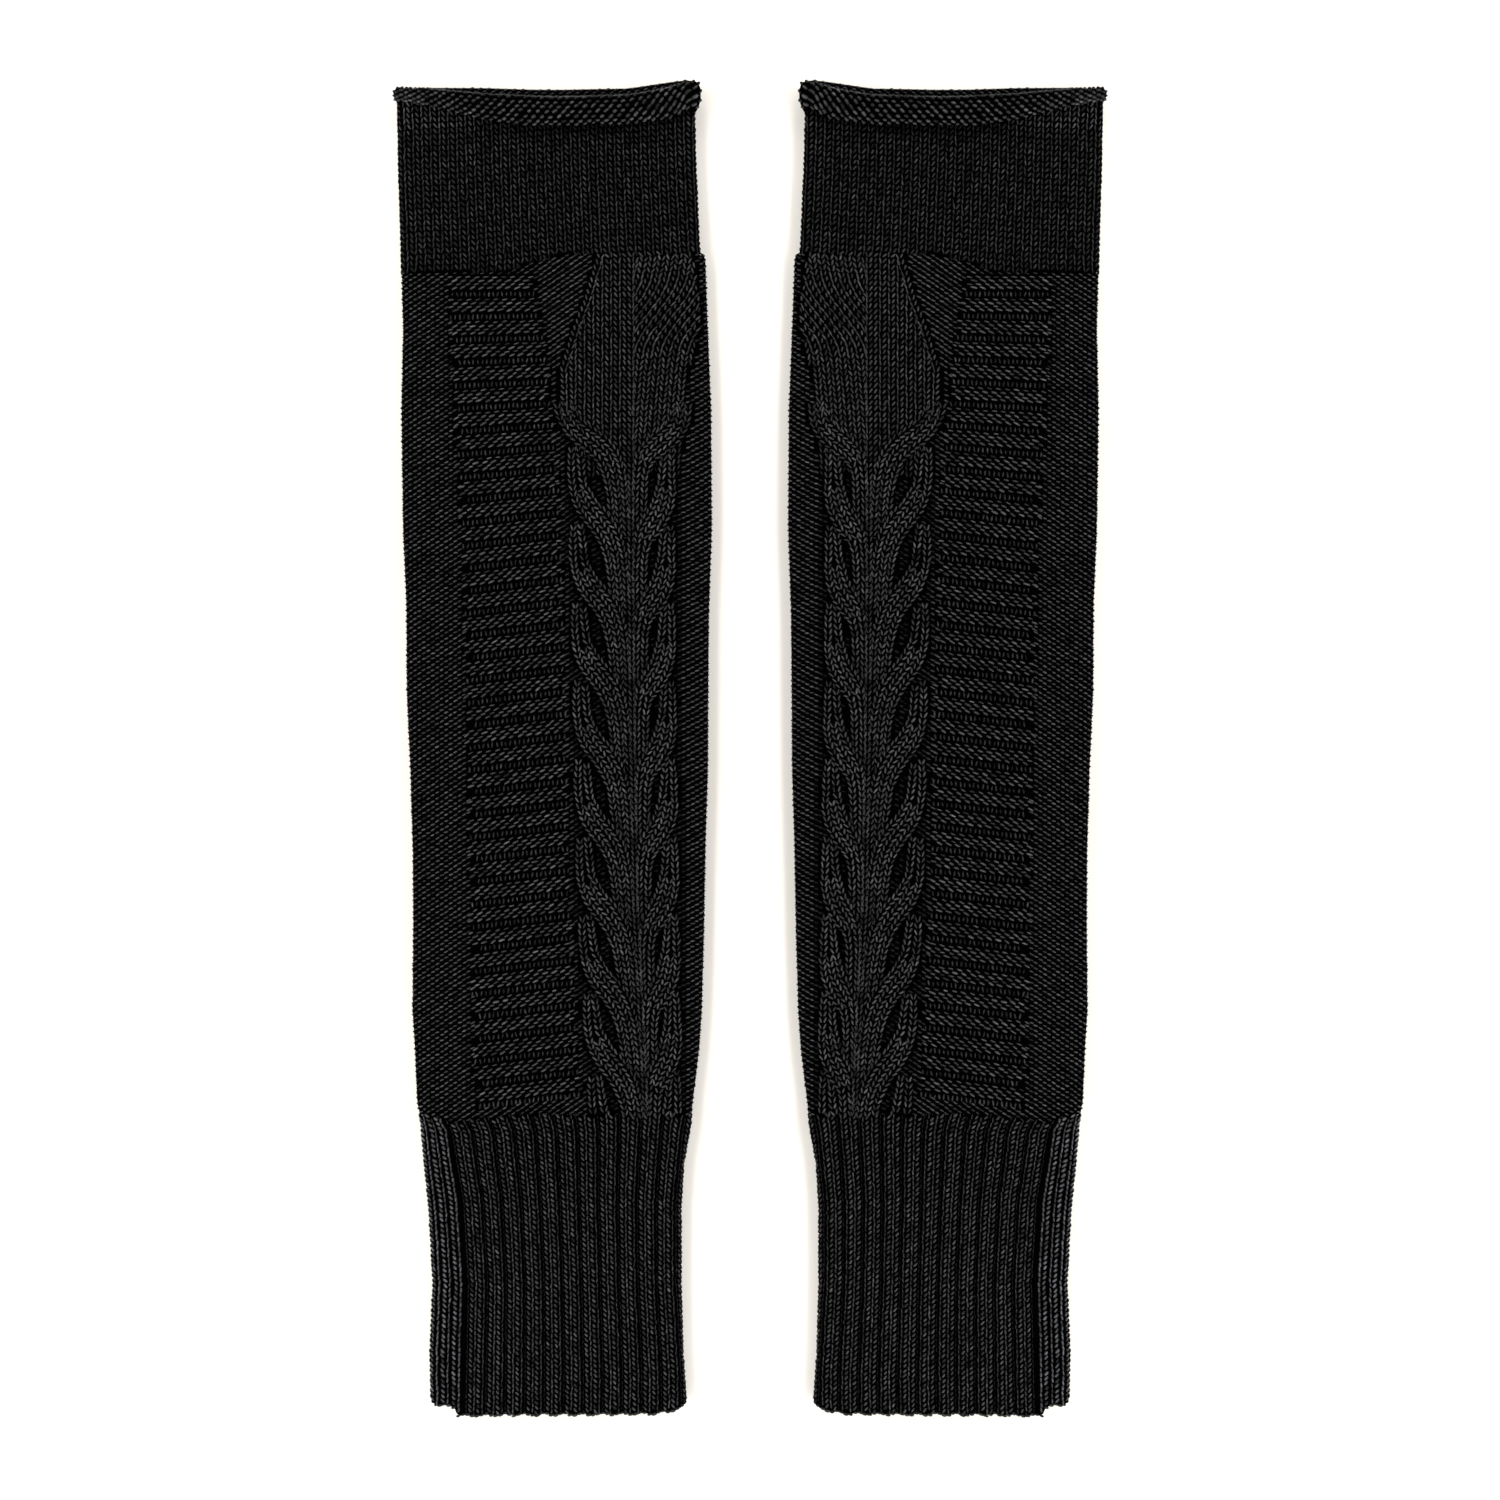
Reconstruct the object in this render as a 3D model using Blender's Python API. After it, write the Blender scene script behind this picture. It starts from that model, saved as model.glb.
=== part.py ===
"""A pair of long fingerless arm warmers, knitted in charcoal wool and laid flat side by side.

Each warmer is a knitted tube pressed flat: a back layer on the surface, a thin hollow and a front layer.
It has four stretches of cloth, from the hand to the elbow: a rolled edge, a plain hand band, a long
patterned body and a ribbed cuff. The second warmer is the mirror image of the first.

Frame: +Y runs along the arm towards the hand openings, +X across the pair, +Z up, and the origin lies on
the surface under the middle of the pair. "across" is a distance from the pair's middle line, "along" is Y.
All sizes are in millimetres, and MM turns them into metres.
"""

import math

import bmesh
import bpy
import numpy as np

MM = 0.001

# Thickness of the cloth and of the flattened tube
WALL = 1.7
HOLLOW = 0.6
SEAM_GAP = 0.3
FLAT = 2 * WALL + HOLLOW
MIDDLE = FLAT / 2
FOLD_RADIUS = FLAT / 2
HOLLOW_FOLD = 0.3

# Heights of the raised knitting over the plain cloth
STOCKINETTE_RISE = 0.45
LEDGE_RISE = 0.9
WELT_RISE = 1.1
CABLE_RISE = 1.3
CENTRE_RISE = 0.45
RIB_RISE = 1.2
TERRACE_DROP = 0.6

# Distances over which raised knitting comes up from the plain cloth, and over which the side steps down
CREASE_WIDTH = 1.5
CREASE_INSET = 3.6
SIDE_STRIP_FULL = 5.0
CABLE_EDGE = 0.8
CENTRE_EDGE = 0.12
RIB_FOLD_START = 0.5
RIB_FOLD_WIDTH = 2.0
RIB_MARGIN = 1.8

# Welts: a ladder of ridges down the outer half of the front
WELT_COUNT = 37
WELT_PITCH = 6.25
FIRST_WELT = 130.3
WELT_CREST_HALF = 0.19
WELT_TILT = 0.12
WELT_TILT_RUN = 70.0
WELT_END = 1.4

# Staghorn cable: two strands that swing in to a V, once every repeat, and then run down the middle
CABLE_COUNT = 9
CABLE_REPEAT = 21.8
FIRST_V = 81.9
STRAND_RADIUS = 3.1
CENTRE_HALF = 0.40
PANEL_EDGE = 1.4

# Ribs of the cuff: pairs of raised columns with deep gutters between them
FRONT_RIBS = 11
SIDE_RIBS = 2
RIB_PROFILE = ((0.0, 0.0), (0.2, 0.85), (0.5, 1.0), (0.8, 0.85))


def table(names, *rows):
    """A table as one array for each named column; its rows go up in the first column."""
    return dict(zip(names.split(), np.array(rows, float).T))


# Both folds of the tube, measured on the flat garment
OUTLINE = table(
    "along inner outer",
    (-187.0, 17.4, 89.0),
    (-168.7, 18.8, 89.3),
    (-148.5, 19.3, 88.5),
    (-128.4, 19.3, 89.6),
    (-114.9, 18.5, 91.0),
    (-104.9, 16.6, 91.8),
    (-98.1, 16.0, 93.0),
    (-84.1, 14.3, 93.6),
    (-72.9, 13.5, 94.3),
    (-50.5, 12.9, 94.1),
    (-28.1, 12.5, 94.2),
    (-5.7, 11.8, 94.9),
    (16.7, 11.7, 95.9),
    (39.1, 11.5, 96.0),
    (61.5, 10.7, 96.9),
    (95.1, 10.9, 97.4),
    (117.5, 11.8, 96.9),
    (139.9, 13.9, 97.5),
    (162.3, 15.1, 98.2),
    (187.0, 15.7, 98.6),
)

# Edges of the patterned panels on the body's front
PANELS = table(
    "along welt_outer welt_inner cable_outer cable_inner centre",
    (-102.0, 77.3, 46.6, 44.8, 18.7, 28.8),
    (-84.1, 77.8, 47.6, 45.9, 18.4, 29.6),
    (-42.1, 78.7, 49.8, 48.4, 18.5, 31.8),
    (13.9, 79.8, 50.9, 49.5, 19.3, 32.7),
    (50.3, 80.6, 51.9, 50.4, 19.6, 33.0),
    (81.9, 82.3, 53.2, 51.2, 19.4, 33.0),
    (95.1, 83.2, 54.8, 53.0, 18.6, 33.0),
    (106.3, 83.7, 55.7, 53.2, 16.6, 33.0),
    (118.0, 84.3, 57.2, 49.6, 14.6, 33.0),
    (125.9, 84.6, 58.8, 46.4, 15.0, 33.0),
    (138.5, 84.6, 60.6, 42.8, 16.8, 33.0),
)

# One strand, up from where it dives under the next crossing: "share" is a share of the repeat above the V,
# "place" runs from the panel's middle at 0 to its edge at 1, and "lift" is the share of the cable's height.
STRAND = table(
    "share place lift",
    (-0.72, 0.18, 0.25),
    (-0.45, 0.18, 0.45),
    (-0.22, 0.18, 0.75),
    (-0.13, 0.24, 0.90),
    (0.13, 0.48, 1.00),
    (0.38, 0.75, 1.00),
    (0.50, 0.82, 1.00),
    (0.85, 0.82, 0.95),
    (1.00, 0.82, 0.80),
    (1.15, 0.82, 0.35),
)
FIRST_STRAND_TOP = 0.5
FIRST_STRAND_FADE = 2.0
FIRST_STRAND_LEAST = 0.4

# Where one stretch of cloth ends and the next begins, on the front and on the back
SEAMS = table(
    "across hem cuff_top band_foot roll_foot",
    (10.0, -180.5, -102.0, 138.4, 173.2),
    (17.4, -182.6, -102.0, 138.4, 173.2),
    (20.0, -184.4, -102.0, 138.4, 173.2),
    (26.0, -185.9, -102.0, 138.4, 173.2),
    (42.0, -186.7, -102.0, 138.4, 173.2),
    (51.7, -186.7, -101.8, 138.3, 173.2),
    (60.6, -186.7, -101.9, 136.2, 173.2),
    (66.7, -186.7, -102.0, 134.2, 173.2),
    (69.0, -186.7, -102.3, 133.4, 173.2),
    (82.6, -186.7, -103.9, 133.4, 173.2),
    (83.4, -184.0, -104.0, 133.4, 173.2),
    (90.3, -182.6, -102.0, 133.4, 173.2),
    (98.0, -182.6, -102.0, 133.4, 173.2),
)
BACK_SEAMS = table(
    "across hem cuff_top band_foot roll_foot",
    (12.0, -182.6, -102.0, 138.4, 173.2),
    (54.0, -182.6, -102.0, 138.4, 173.2),
    (94.0, -182.6, -102.0, 133.4, 173.2),
)
SEAM_LEVELS = {"hem": -182.6, "cuff_top": -102.0, "band_foot": 138.4, "roll_foot": 173.2}

# The crease where the front turns down into the side of the tube, and the cuff's innermost gutter
CREASE = table(
    "along crease last_gutter",
    (-187.0, 79.2, 19.3),
    (-173.7, 79.0, 19.3),
    (-148.5, 78.4, 20.7),
    (-126.0, 79.8, 20.7),
    (-106.5, 83.0, 18.8),
    (-100.0, 86.5, 17.6),
    (-89.7, 91.0, 16.6),
    (-66.0, 94.3, 15.3),
)

# The rolled edge, from above: the lip and top of its front, the top of its back, and its height
ROLL = table(
    "across lip top back_top height",
    (13.0, 177.9, 185.2, 186.4, 3.5),
    (17.0, 177.4, 185.4, 186.6, 4.2),
    (22.0, 176.6, 184.0, 186.2, 4.4),
    (34.0, 175.4, 182.4, 184.9, 4.4),
    (54.0, 175.0, 181.8, 184.7, 4.2),
    (74.0, 176.6, 182.8, 184.7, 3.8),
    (90.0, 179.0, 184.2, 184.6, 3.2),
    (98.0, 180.0, 184.6, 184.6, 2.4),
)
ROLL_MIDDLE = 3.6
ROLL_LEVEL = 180.0
ROLL_TURNS = (55.0, 20.0, -20.0, -55.0)
ROLL_ROOT = 0.8
ROOT_PINCH = 0.25

# The roll's section, from the hollow over the top to the lip and back to the wall. The reaches run from the
# lip at 0 to the top at 1; "front" and "back" are shares of the height over the roll's middle.
ROLL_SECTION = table(
    "number front_reach back_reach front back",
    (1, 0.55, 0.55, 0.07, 0.08),
    (2, 0.90, 0.90, 0.22, 0.16),
    (3, 1.00, 1.00, 0.52, 0.50),
    (4, 0.93, 0.93, 0.80, 0.88),
    (5, 0.72, 0.72, 0.97, 1.00),
    (6, 0.42, 0.48, 1.00, 1.00),
    (7, 0.14, 0.28, 0.82, 1.00),
    (8, 0.00, 0.10, 0.52, 1.00),
    (9, 0.06, -0.06, 0.26, 1.00),
)

# How many points make the pieces
COARSE_ROWS = 10
CABLE_STEPS = 8
GUSSET_ROWS = 9
ROLL_FRONT = 12
ROLL_BACK = 6
CABLE_PLACES = (-1, -0.93, -0.8, -0.67, -0.55, -0.42, -0.28, -0.14, 0,
                0.14, 0.28, 0.42, 0.55, 0.67, 0.8, 0.93, 1)
BAND_LINES = (91.0, 83.0, 76.0, 69.0, 60.6, 51.7, 42.0, 34.0, 26.0, 20.0)
LEDGE_INNER = 41.0
HOLLOW_SHARES = (0.0, 0.1, 0.335, 0.44, 0.55, 0.67, 0.84, 1.0)
BACK_SHARES = (1.0, 0.5, 0.0)
LEAST_STEP = 0.4
FOLD_SHARE = 0.005
FOLD_STEP = 0.001
SHARP_ANGLE = 50.0

WARMERS = {"left": -1.0, "right": 1.0}
COLLECTION = "fingerless_arm_warmers"
YARN_COLOUR = (0.020, 0.020, 0.022, 1.0)
YARN_ROUGHNESS = 0.9


def read(source, column, place):
    """A column's value at a place, on straight lines between the table's rows."""
    key = next(iter(source))
    return float(np.interp(place, source[key], source[column]))


def rise_at(distance, width):
    """0 outside an edge and 1 from a width inside it, on a round shoulder."""
    share = min(max(distance / width, 0.0), 1.0)
    return math.sin(share * math.pi / 2)


def fold_height(across, along):
    """Height of the plain front layer, round where the tube folds over."""
    to_edge = min(
        across - read(OUTLINE, "inner", along), read(OUTLINE, "outer", along) - across
    )
    if to_edge >= FOLD_RADIUS:
        return FLAT
    lean = 1 - max(to_edge, 0.0) / FOLD_RADIUS
    return MIDDLE + FOLD_RADIUS * math.sqrt(1 - lean * lean)


def terrace(across, along):
    """How far the side of the tube, outside the front's crease, lies below the front."""
    if along > CREASE["along"][-1]:
        return 0.0
    width = read(OUTLINE, "outer", along) - read(CREASE, "crease", along)
    outside = across - read(CREASE, "crease", along)
    return TERRACE_DROP * rise_at(outside, CREASE_WIDTH) * min(width / SIDE_STRIP_FULL, 1.0)


def welt_shift(across, along):
    """How far the welts climb towards the middle of the pair, more so lower down."""
    middle = (read(PANELS, "welt_outer", along) + read(PANELS, "welt_inner", along)) / 2
    tilt = WELT_TILT * min(max((FIRST_WELT - along) / WELT_TILT_RUN, 0.0), 1.0)
    return tilt * (middle - across)


def cable_place(across, along):
    """Place over the cable panel: -1 at its outer edge, 0 on its middle line and 1 at its inner edge."""
    centre = read(PANELS, "centre", along)
    if across > centre:
        return -(across - centre) / (read(PANELS, "cable_outer", along) - centre)
    return (centre - across) / (centre - read(PANELS, "cable_inner", along))


def cable_across(place, along):
    """The distance from the pair's middle line at a place over the cable panel."""
    centre = read(PANELS, "centre", along)
    edge = read(PANELS, "cable_outer" if place < 0 else "cable_inner", along)
    return centre + abs(place) * (edge - centre)


def strands():
    """Every strand of the cable as rows of (across, along, lift); the first pair leaves the funnel."""
    lines = []
    for crossing in range(CABLE_COUNT):
        foot = FIRST_V - crossing * CABLE_REPEAT
        for side in (-1, 1):
            rows = []
            for share, place, lift in zip(STRAND["share"], STRAND["place"], STRAND["lift"]):
                if crossing == 0:
                    if share > FIRST_STRAND_TOP:
                        continue
                    fade = FIRST_STRAND_FADE * (FIRST_STRAND_TOP - share) + FIRST_STRAND_LEAST
                    lift *= min(1.0, fade)
                along = foot + share * CABLE_REPEAT
                rows.append((cable_across(side * place, along), along, lift))
            lines.append(np.array(rows))
    return lines


STRANDS = strands()


def strand_rise(across, along, line):
    """Height of one strand at a point: half an ellipse over its line."""
    low, high = line[0][1] - STRAND_RADIUS, line[-1][1] + STRAND_RADIUS
    if not low < along < high:
        return 0.0
    point, best = np.array((across, along)), 0.0
    for start, after in zip(line[:-1], line[1:]):
        step = after[:2] - start[:2]
        share = float(np.clip((point - start[:2]) @ step / (step @ step), 0, 1))
        far = float(np.linalg.norm(point - start[:2] - share * step)) / STRAND_RADIUS
        if far < 1:
            lift = start[2] + share * (after[2] - start[2])
            best = max(best, CABLE_RISE * lift * math.sqrt(1 - far * far))
    return best


def cable_rise(across, along):
    """Height of the funnel, of the cable's middle columns and of its strands over the plain cloth."""
    place = cable_place(across, along)
    if place < 0:
        to_edge = read(PANELS, "cable_outer", along) - across
    else:
        to_edge = across - read(PANELS, "cable_inner", along)
    rise = 0.0
    if along > FIRST_V:
        rise = STOCKINETTE_RISE * rise_at(to_edge, PANEL_EDGE)
    elif abs(place) < CENTRE_HALF:
        rise = CENTRE_RISE * rise_at(CENTRE_HALF - abs(place), CENTRE_EDGE)
    for line in STRANDS:
        rise = max(rise, strand_rise(across, along, line))
    return rise * rise_at(to_edge, CABLE_EDGE)


def rib_across(turn, along):
    """Distance across of a place in the ribs: whole turns are gutters, 0 is the one in the crease."""
    crease = read(CREASE, "crease", along)
    if turn < 0:
        outer = read(OUTLINE, "outer", along)
        return crease + (outer - crease) * -turn / SIDE_RIBS
    return crease - (crease - read(CREASE, "last_gutter", along)) * turn / FRONT_RIBS


def ladder(low, high, count):
    """Evenly spaced levels from low to high."""
    return [low + (high - low) * step / count for step in range(count + 1)]


def fold_at(fold, along):
    """Distance across of the tube's inner or outer fold."""
    return read(OUTLINE, fold, along)


def seam(name, across, toward):
    """Level of a stretch's end on the front, half a gap toward its own cloth; the hem has no gap."""
    gap = 0.0 if name == "hem" else SEAM_GAP / 2
    return read(SEAMS, name, across) + toward * gap


def back_seam(name, across, toward):
    """Level of a stretch's end on the back, half a gap toward its own cloth."""
    gap = 0.0 if name == "hem" else SEAM_GAP / 2
    return read(BACK_SEAMS, name, across) + toward * gap


def stitch(mesh, first, second):
    """Fill the strip between two lines of (place, vertex) whose places go up together."""
    a = b = 0
    while a < len(first) - 1 or b < len(second) - 1:
        next_a = first[a + 1][0] if a < len(first) - 1 else math.inf
        next_b = second[b + 1][0] if b < len(second) - 1 else math.inf
        corners = [first[a][1], second[b][1]]
        if next_b <= next_a + 1e-9:
            b += 1
            corners.append(second[b][1])
        if next_a <= next_b + 1e-9:
            a += 1
            corners.append(first[a][1])
        mesh.faces.new(corners)


def column(mesh, side, points):
    """One line of vertices up a wall, each with its share of the way, from (across, along, height)."""
    low, high = points[0][1], points[-1][1]
    line = []
    for across, along, height in points:
        vertex = mesh.verts.new((side * across * MM, along * MM, height * MM))
        line.append(((along - low) / (high - low), vertex))
    return line


def round_place(across, along, front):
    """Place round the tube: 0 at its outer fold, up to 0.5 at its inner fold and back under it to 1."""
    outer, inner = fold_at("outer", along), fold_at("inner", along)
    half = FOLD_SHARE + (0.5 - 2 * FOLD_SHARE) * (outer - across) / (outer - inner)
    return half if front else 1 - half


def skin(mesh, columns):
    """Fill the surface through a closed round of (places at both ends, column)."""
    for number, (_, line) in enumerate(columns):
        stitch(mesh, line, columns[(number + 1) % len(columns)][1])


def join_ends(mesh, outside, inside):
    """Close the wall between its outer and inner surface at both ends of the tube."""
    for end in (0, -1):
        rings = []
        for columns in (outside, inside):
            ring = [(places[end], line[end][1]) for places, line in columns]
            rings.append(ring + [(1.0, ring[0][1])])
        stitch(mesh, *rings)


def wool(name):
    """A matt charcoal wool."""
    material = bpy.data.materials.new(name + "_wool")
    material.use_nodes = True
    shader = material.node_tree.nodes["Principled BSDF"]
    shader.inputs["Base Color"].default_value = YARN_COLOUR
    shader.inputs["Roughness"].default_value = YARN_ROUGHNESS
    shader.inputs["Metallic"].default_value = 0.0
    return material


def finish_object(mesh, name, collection):
    """The mesh as a smooth object of dark wool in the garment's collection."""
    bmesh.ops.triangulate(mesh, faces=mesh.faces[:])
    bmesh.ops.recalc_face_normals(mesh, faces=mesh.faces[:])
    data = bpy.data.meshes.new(name)
    mesh.to_mesh(data)
    mesh.free()
    data.shade_smooth()
    data.set_sharp_from_angle(angle=math.radians(SHARP_ANGLE))
    data.materials.append(wool(name))
    collection.objects.link(bpy.data.objects.new(name, data))


def fold_column(mesh, side, fold, span, angle, radius, inset):
    """A column round a fold of the tube, at an angle from -90 on the back to 90 on the front."""
    out = 1.0 if fold == "outer" else -1.0
    lean, weight = math.radians(angle), (90 - angle) / 180
    edge = fold_at(fold, 0.0)
    front = [seam(name, edge, toward) for name, toward in zip(span, (1, -1))]
    back = [back_seam(name, edge, toward) for name, toward in zip(span, (1, -1))]
    low, high = [a + (b - a) * weight for a, b in zip(front, back)]
    points = []
    for along in ladder(low, high, COARSE_ROWS):
        edge = fold_at(fold, along)
        across = edge + out * (radius * math.cos(lean) - inset)
        drop = terrace(edge, along) * max(math.sin(lean), 0.0) if fold == "outer" else 0.0
        points.append((across, along, MIDDLE + radius * math.sin(lean) - drop))
    return column(mesh, side, points)


def front_points(span, across_at, rise, levels=()):
    """Points up the raised front, at the stretch's own ends and at the levels between them."""
    low, high = [
        seam(name, across_at(SEAM_LEVELS[name]), toward) for name, toward in zip(span, (1, -1))
    ]
    inner_levels = [level for level in levels if low + LEAST_STEP < level < high - LEAST_STEP]
    points = []
    for along in [low, *inner_levels, high] if levels else ladder(low, high, COARSE_ROWS):
        across = across_at(along)
        height = fold_height(across, along) + rise(across, along) - terrace(across, along)
        points.append((across, along, height))
    return points


def level_column(mesh, side, share, height, ends_at, inset):
    """A column on a level surface, at a share of the way between the folds, with its end places."""

    def across_at(along):
        outer, inner = fold_at("outer", along) - inset, fold_at("inner", along) + inset
        return outer - share * (outer - inner)

    low, high = ends_at(across_at)
    points = [(across_at(along), along, height) for along in ladder(low, high, COARSE_ROWS)]
    places = [round_place(*points[end][:2], height > MIDDLE) for end in (0, -1)]
    return places, column(mesh, side, points)


def tube(side, name, collection, span, front):
    """A flattened tube of cloth. span names its lower and upper seam, and front has its raised columns."""
    mesh = bmesh.new()

    def front_ends(across_at):
        return [seam(n, across_at(SEAM_LEVELS[n]), t) for n, t in zip(span, (1, -1))]

    def back_ends(across_at):
        return [back_seam(n, across_at(SEAM_LEVELS[n]), t) for n, t in zip(span, (1, -1))]

    def fold(which, angle, place):
        line = fold_column(mesh, side, which, span, angle, FOLD_RADIUS, FOLD_RADIUS)
        return [place, place], line

    def hollow_fold(which, place):
        line = fold_column(mesh, side, which, span, 0, HOLLOW_FOLD, WALL + HOLLOW_FOLD)
        return [place, place], line

    outside = [fold("outer", 0, 0.0), fold("outer", 45, FOLD_STEP)]
    for points in front:
        places = [round_place(*points[end][:2], True) for end in (0, -1)]
        outside.append((places, column(mesh, side, points)))
    for angle, place in ((45, 0.5 - FOLD_STEP), (0, 0.5), (-45, 0.5 + FOLD_STEP)):
        outside.append(fold("inner", angle, place))
    for share in BACK_SHARES:
        outside.append(level_column(mesh, side, share, 0.0, back_ends, FOLD_RADIUS))
    outside.append(fold("outer", -45, 1 - FOLD_STEP))

    inset = WALL + HOLLOW_FOLD
    inside = [hollow_fold("outer", 0.0)]
    for share in HOLLOW_SHARES:
        inside.append(level_column(mesh, side, share, WALL + HOLLOW, front_ends, inset))
    inside.append(hollow_fold("inner", 0.5))
    for share in BACK_SHARES:
        inside.append(level_column(mesh, side, share, WALL, back_ends, inset))
    skin(mesh, outside)
    skin(mesh, inside)
    join_ends(mesh, outside, inside)
    finish_object(mesh, name, collection)


def plain(_across, _along):
    """No raised knitting."""
    return 0.0


def near_fold(fold, distance):
    """A line that keeps its distance from a fold."""
    sign = 1 if fold == "inner" else -1
    return lambda along: fold_at(fold, along) + sign * distance


def panel_edge(name):
    """A line along one edge of a panel."""
    return lambda along: read(PANELS, name, along)


def wedge_line(along):
    """The middle of the plain cloth between the welts and the cable."""
    return (read(PANELS, "welt_inner", along) + read(PANELS, "cable_outer", along)) / 2


def welt_columns(span):
    """The ladder of welts: gutters at the plain cloth's height between flat-topped ridges."""
    heights = {}
    for number in range(WELT_COUNT):
        crest = FIRST_WELT - number * WELT_PITCH
        heights[crest - WELT_CREST_HALF * WELT_PITCH] = WELT_RISE
        heights[crest + WELT_CREST_HALF * WELT_PITCH] = WELT_RISE
        heights[crest - 0.5 * WELT_PITCH] = 0.0

    made = []
    for share in (0.0, 0.33, 0.67, 1.0):

        def across_at(along, share=share):
            outer = read(PANELS, "welt_outer", along) - WELT_END
            inner = read(PANELS, "welt_inner", along) + WELT_END
            return outer - share * (outer - inner)

        rises = {}
        for along, height in heights.items():
            shifted = along + welt_shift(across_at(along), along)
            rises[shifted] = height

        def rise(_across, along, rises=rises):
            return rises.get(along, 0.0)

        made.append(front_points(span, across_at, rise, sorted(rises)))
    return made


def cable_columns(span):
    """The funnel and the cable below it, on lines that follow the panel."""
    step = CABLE_REPEAT / CABLE_STEPS
    levels = [FIRST_V - number * step for number in range(CABLE_STEPS * (CABLE_COUNT + 1))]
    levels += ladder(FIRST_V + step, SEAMS["band_foot"].max(), GUSSET_ROWS)
    made = []
    for place in CABLE_PLACES:

        def across_at(along, place=place):
            return cable_across(place, along)

        made.append(front_points(span, across_at, cable_rise, sorted(levels)))
    return made


def crease_line(distance):
    """A line that keeps its distance from the crease, and above the crease from the outer fold."""

    def across_at(along):
        by_fold = fold_at("outer", along) - CREASE_INSET
        return min(by_fold, read(CREASE, "crease", along)) - distance

    return across_at


def body(side, name, collection):
    """The long patterned tube."""
    span = ("cuff_top", "band_foot")
    front = [
        front_points(span, near_fold("outer", FOLD_RADIUS), plain),
        front_points(span, crease_line(0.0), plain),
        front_points(span, crease_line(CREASE_WIDTH), plain),
        front_points(span, panel_edge("welt_outer"), plain),
        *welt_columns(span),
        front_points(span, panel_edge("welt_inner"), plain),
        front_points(span, wedge_line, plain),
        *cable_columns(span),
        front_points(span, near_fold("inner", FOLD_RADIUS), plain),
    ]
    tube(side, name, collection, span, front)


def cuff(side, name, collection):
    """The ribbed elbow end, whose ribs run from the body to the hem."""
    span = ("hem", "cuff_top")
    turns = []
    for rib in range(-SIDE_RIBS, FRONT_RIBS):
        turns += [(rib + share, height) for share, height in RIB_PROFILE]
    on_the_fold = 2
    front = []
    for turn, height in turns[on_the_fold:] + [(FRONT_RIBS, 0.0)]:

        def across_at(along, turn=turn):
            return max(rib_across(turn, along), fold_at("inner", along) + RIB_MARGIN)

        def rise(across, along, height=height):
            to_fold = min(fold_at("outer", along) - across, across - fold_at("inner", along))
            return RIB_RISE * height * rise_at(to_fold - RIB_FOLD_START, RIB_FOLD_WIDTH)

        front.append(front_points(span, across_at, rise))
    tube(side, name, collection, span, front)


def hand_band(side, name, collection):
    """The plain stockinette band, whose foot stands over the body as a small ledge."""
    span = ("band_foot", "roll_foot")

    def rise(across, along):
        at_foot = along < seam("band_foot", across, 1) + LEAST_STEP
        return LEDGE_RISE if at_foot and across > LEDGE_INNER else STOCKINETTE_RISE

    front = [front_points(span, near_fold("outer", FOLD_RADIUS), plain)]
    foot = SEAM_LEVELS["band_foot"]
    for line in BAND_LINES:

        def across_at(along, line=line):
            share = (fold_at("outer", foot) - line) / (fold_at("outer", foot) - fold_at("inner", foot))
            outer = fold_at("outer", along)
            return outer - share * (outer - fold_at("inner", along))

        front.append(front_points(span, across_at, rise))
    front.append(front_points(span, near_fold("inner", FOLD_RADIUS), plain))
    tube(side, name, collection, span, front)


def roll_stations():
    """Stations round the hand opening: (distance across, angle of the wall there)."""
    low = fold_at("inner", ROLL_LEVEL) + FOLD_RADIUS
    high = fold_at("outer", ROLL_LEVEL) - FOLD_RADIUS
    stations = [(across, 90.0) for across in ladder(high, low, ROLL_FRONT)]
    stations += [(low, angle) for angle in ROLL_TURNS]
    stations += [(across, -90.0) for across in ladder(low, high, ROLL_BACK)]
    stations += [(high, angle) for angle in reversed(ROLL_TURNS)]
    return stations


def roll_section(across, angle):
    """The roll's section at a station, as (distance out from the middle surface, along, middle height)."""
    weight = (90 - angle) / 180
    lip = read(ROLL, "lip", across)
    top = read(ROLL, "top", across) * (1 - weight) + read(ROLL, "back_top", across) * weight
    height = read(ROLL, "height", across) * (1 - weight) + ROLL_MIDDLE * weight
    foot = SEAM_LEVELS["roll_foot"] + SEAM_GAP / 2
    outer_wall = MIDDLE + STOCKINETTE_RISE * (1 - weight)
    points = [(HOLLOW_FOLD, foot, MIDDLE)]
    for number in ROLL_SECTION["number"]:
        reach, share = [
            read(ROLL_SECTION, front, number) * (1 - weight) + read(ROLL_SECTION, back, number) * weight
            for front, back in (("front_reach", "back_reach"), ("front", "back"))
        ]
        points.append((height * share, lip + (top - lip) * reach, ROLL_MIDDLE))
    root = points[-1][1] + ROLL_ROOT * (1 - 2 * weight)
    lift = (root - foot) / (top - foot) * (ROLL_MIDDLE - MIDDLE)
    points.append((outer_wall * (1 - ROOT_PINCH * (1 - weight)), root, MIDDLE + lift))
    points.append((outer_wall, foot, MIDDLE))
    return points


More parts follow.
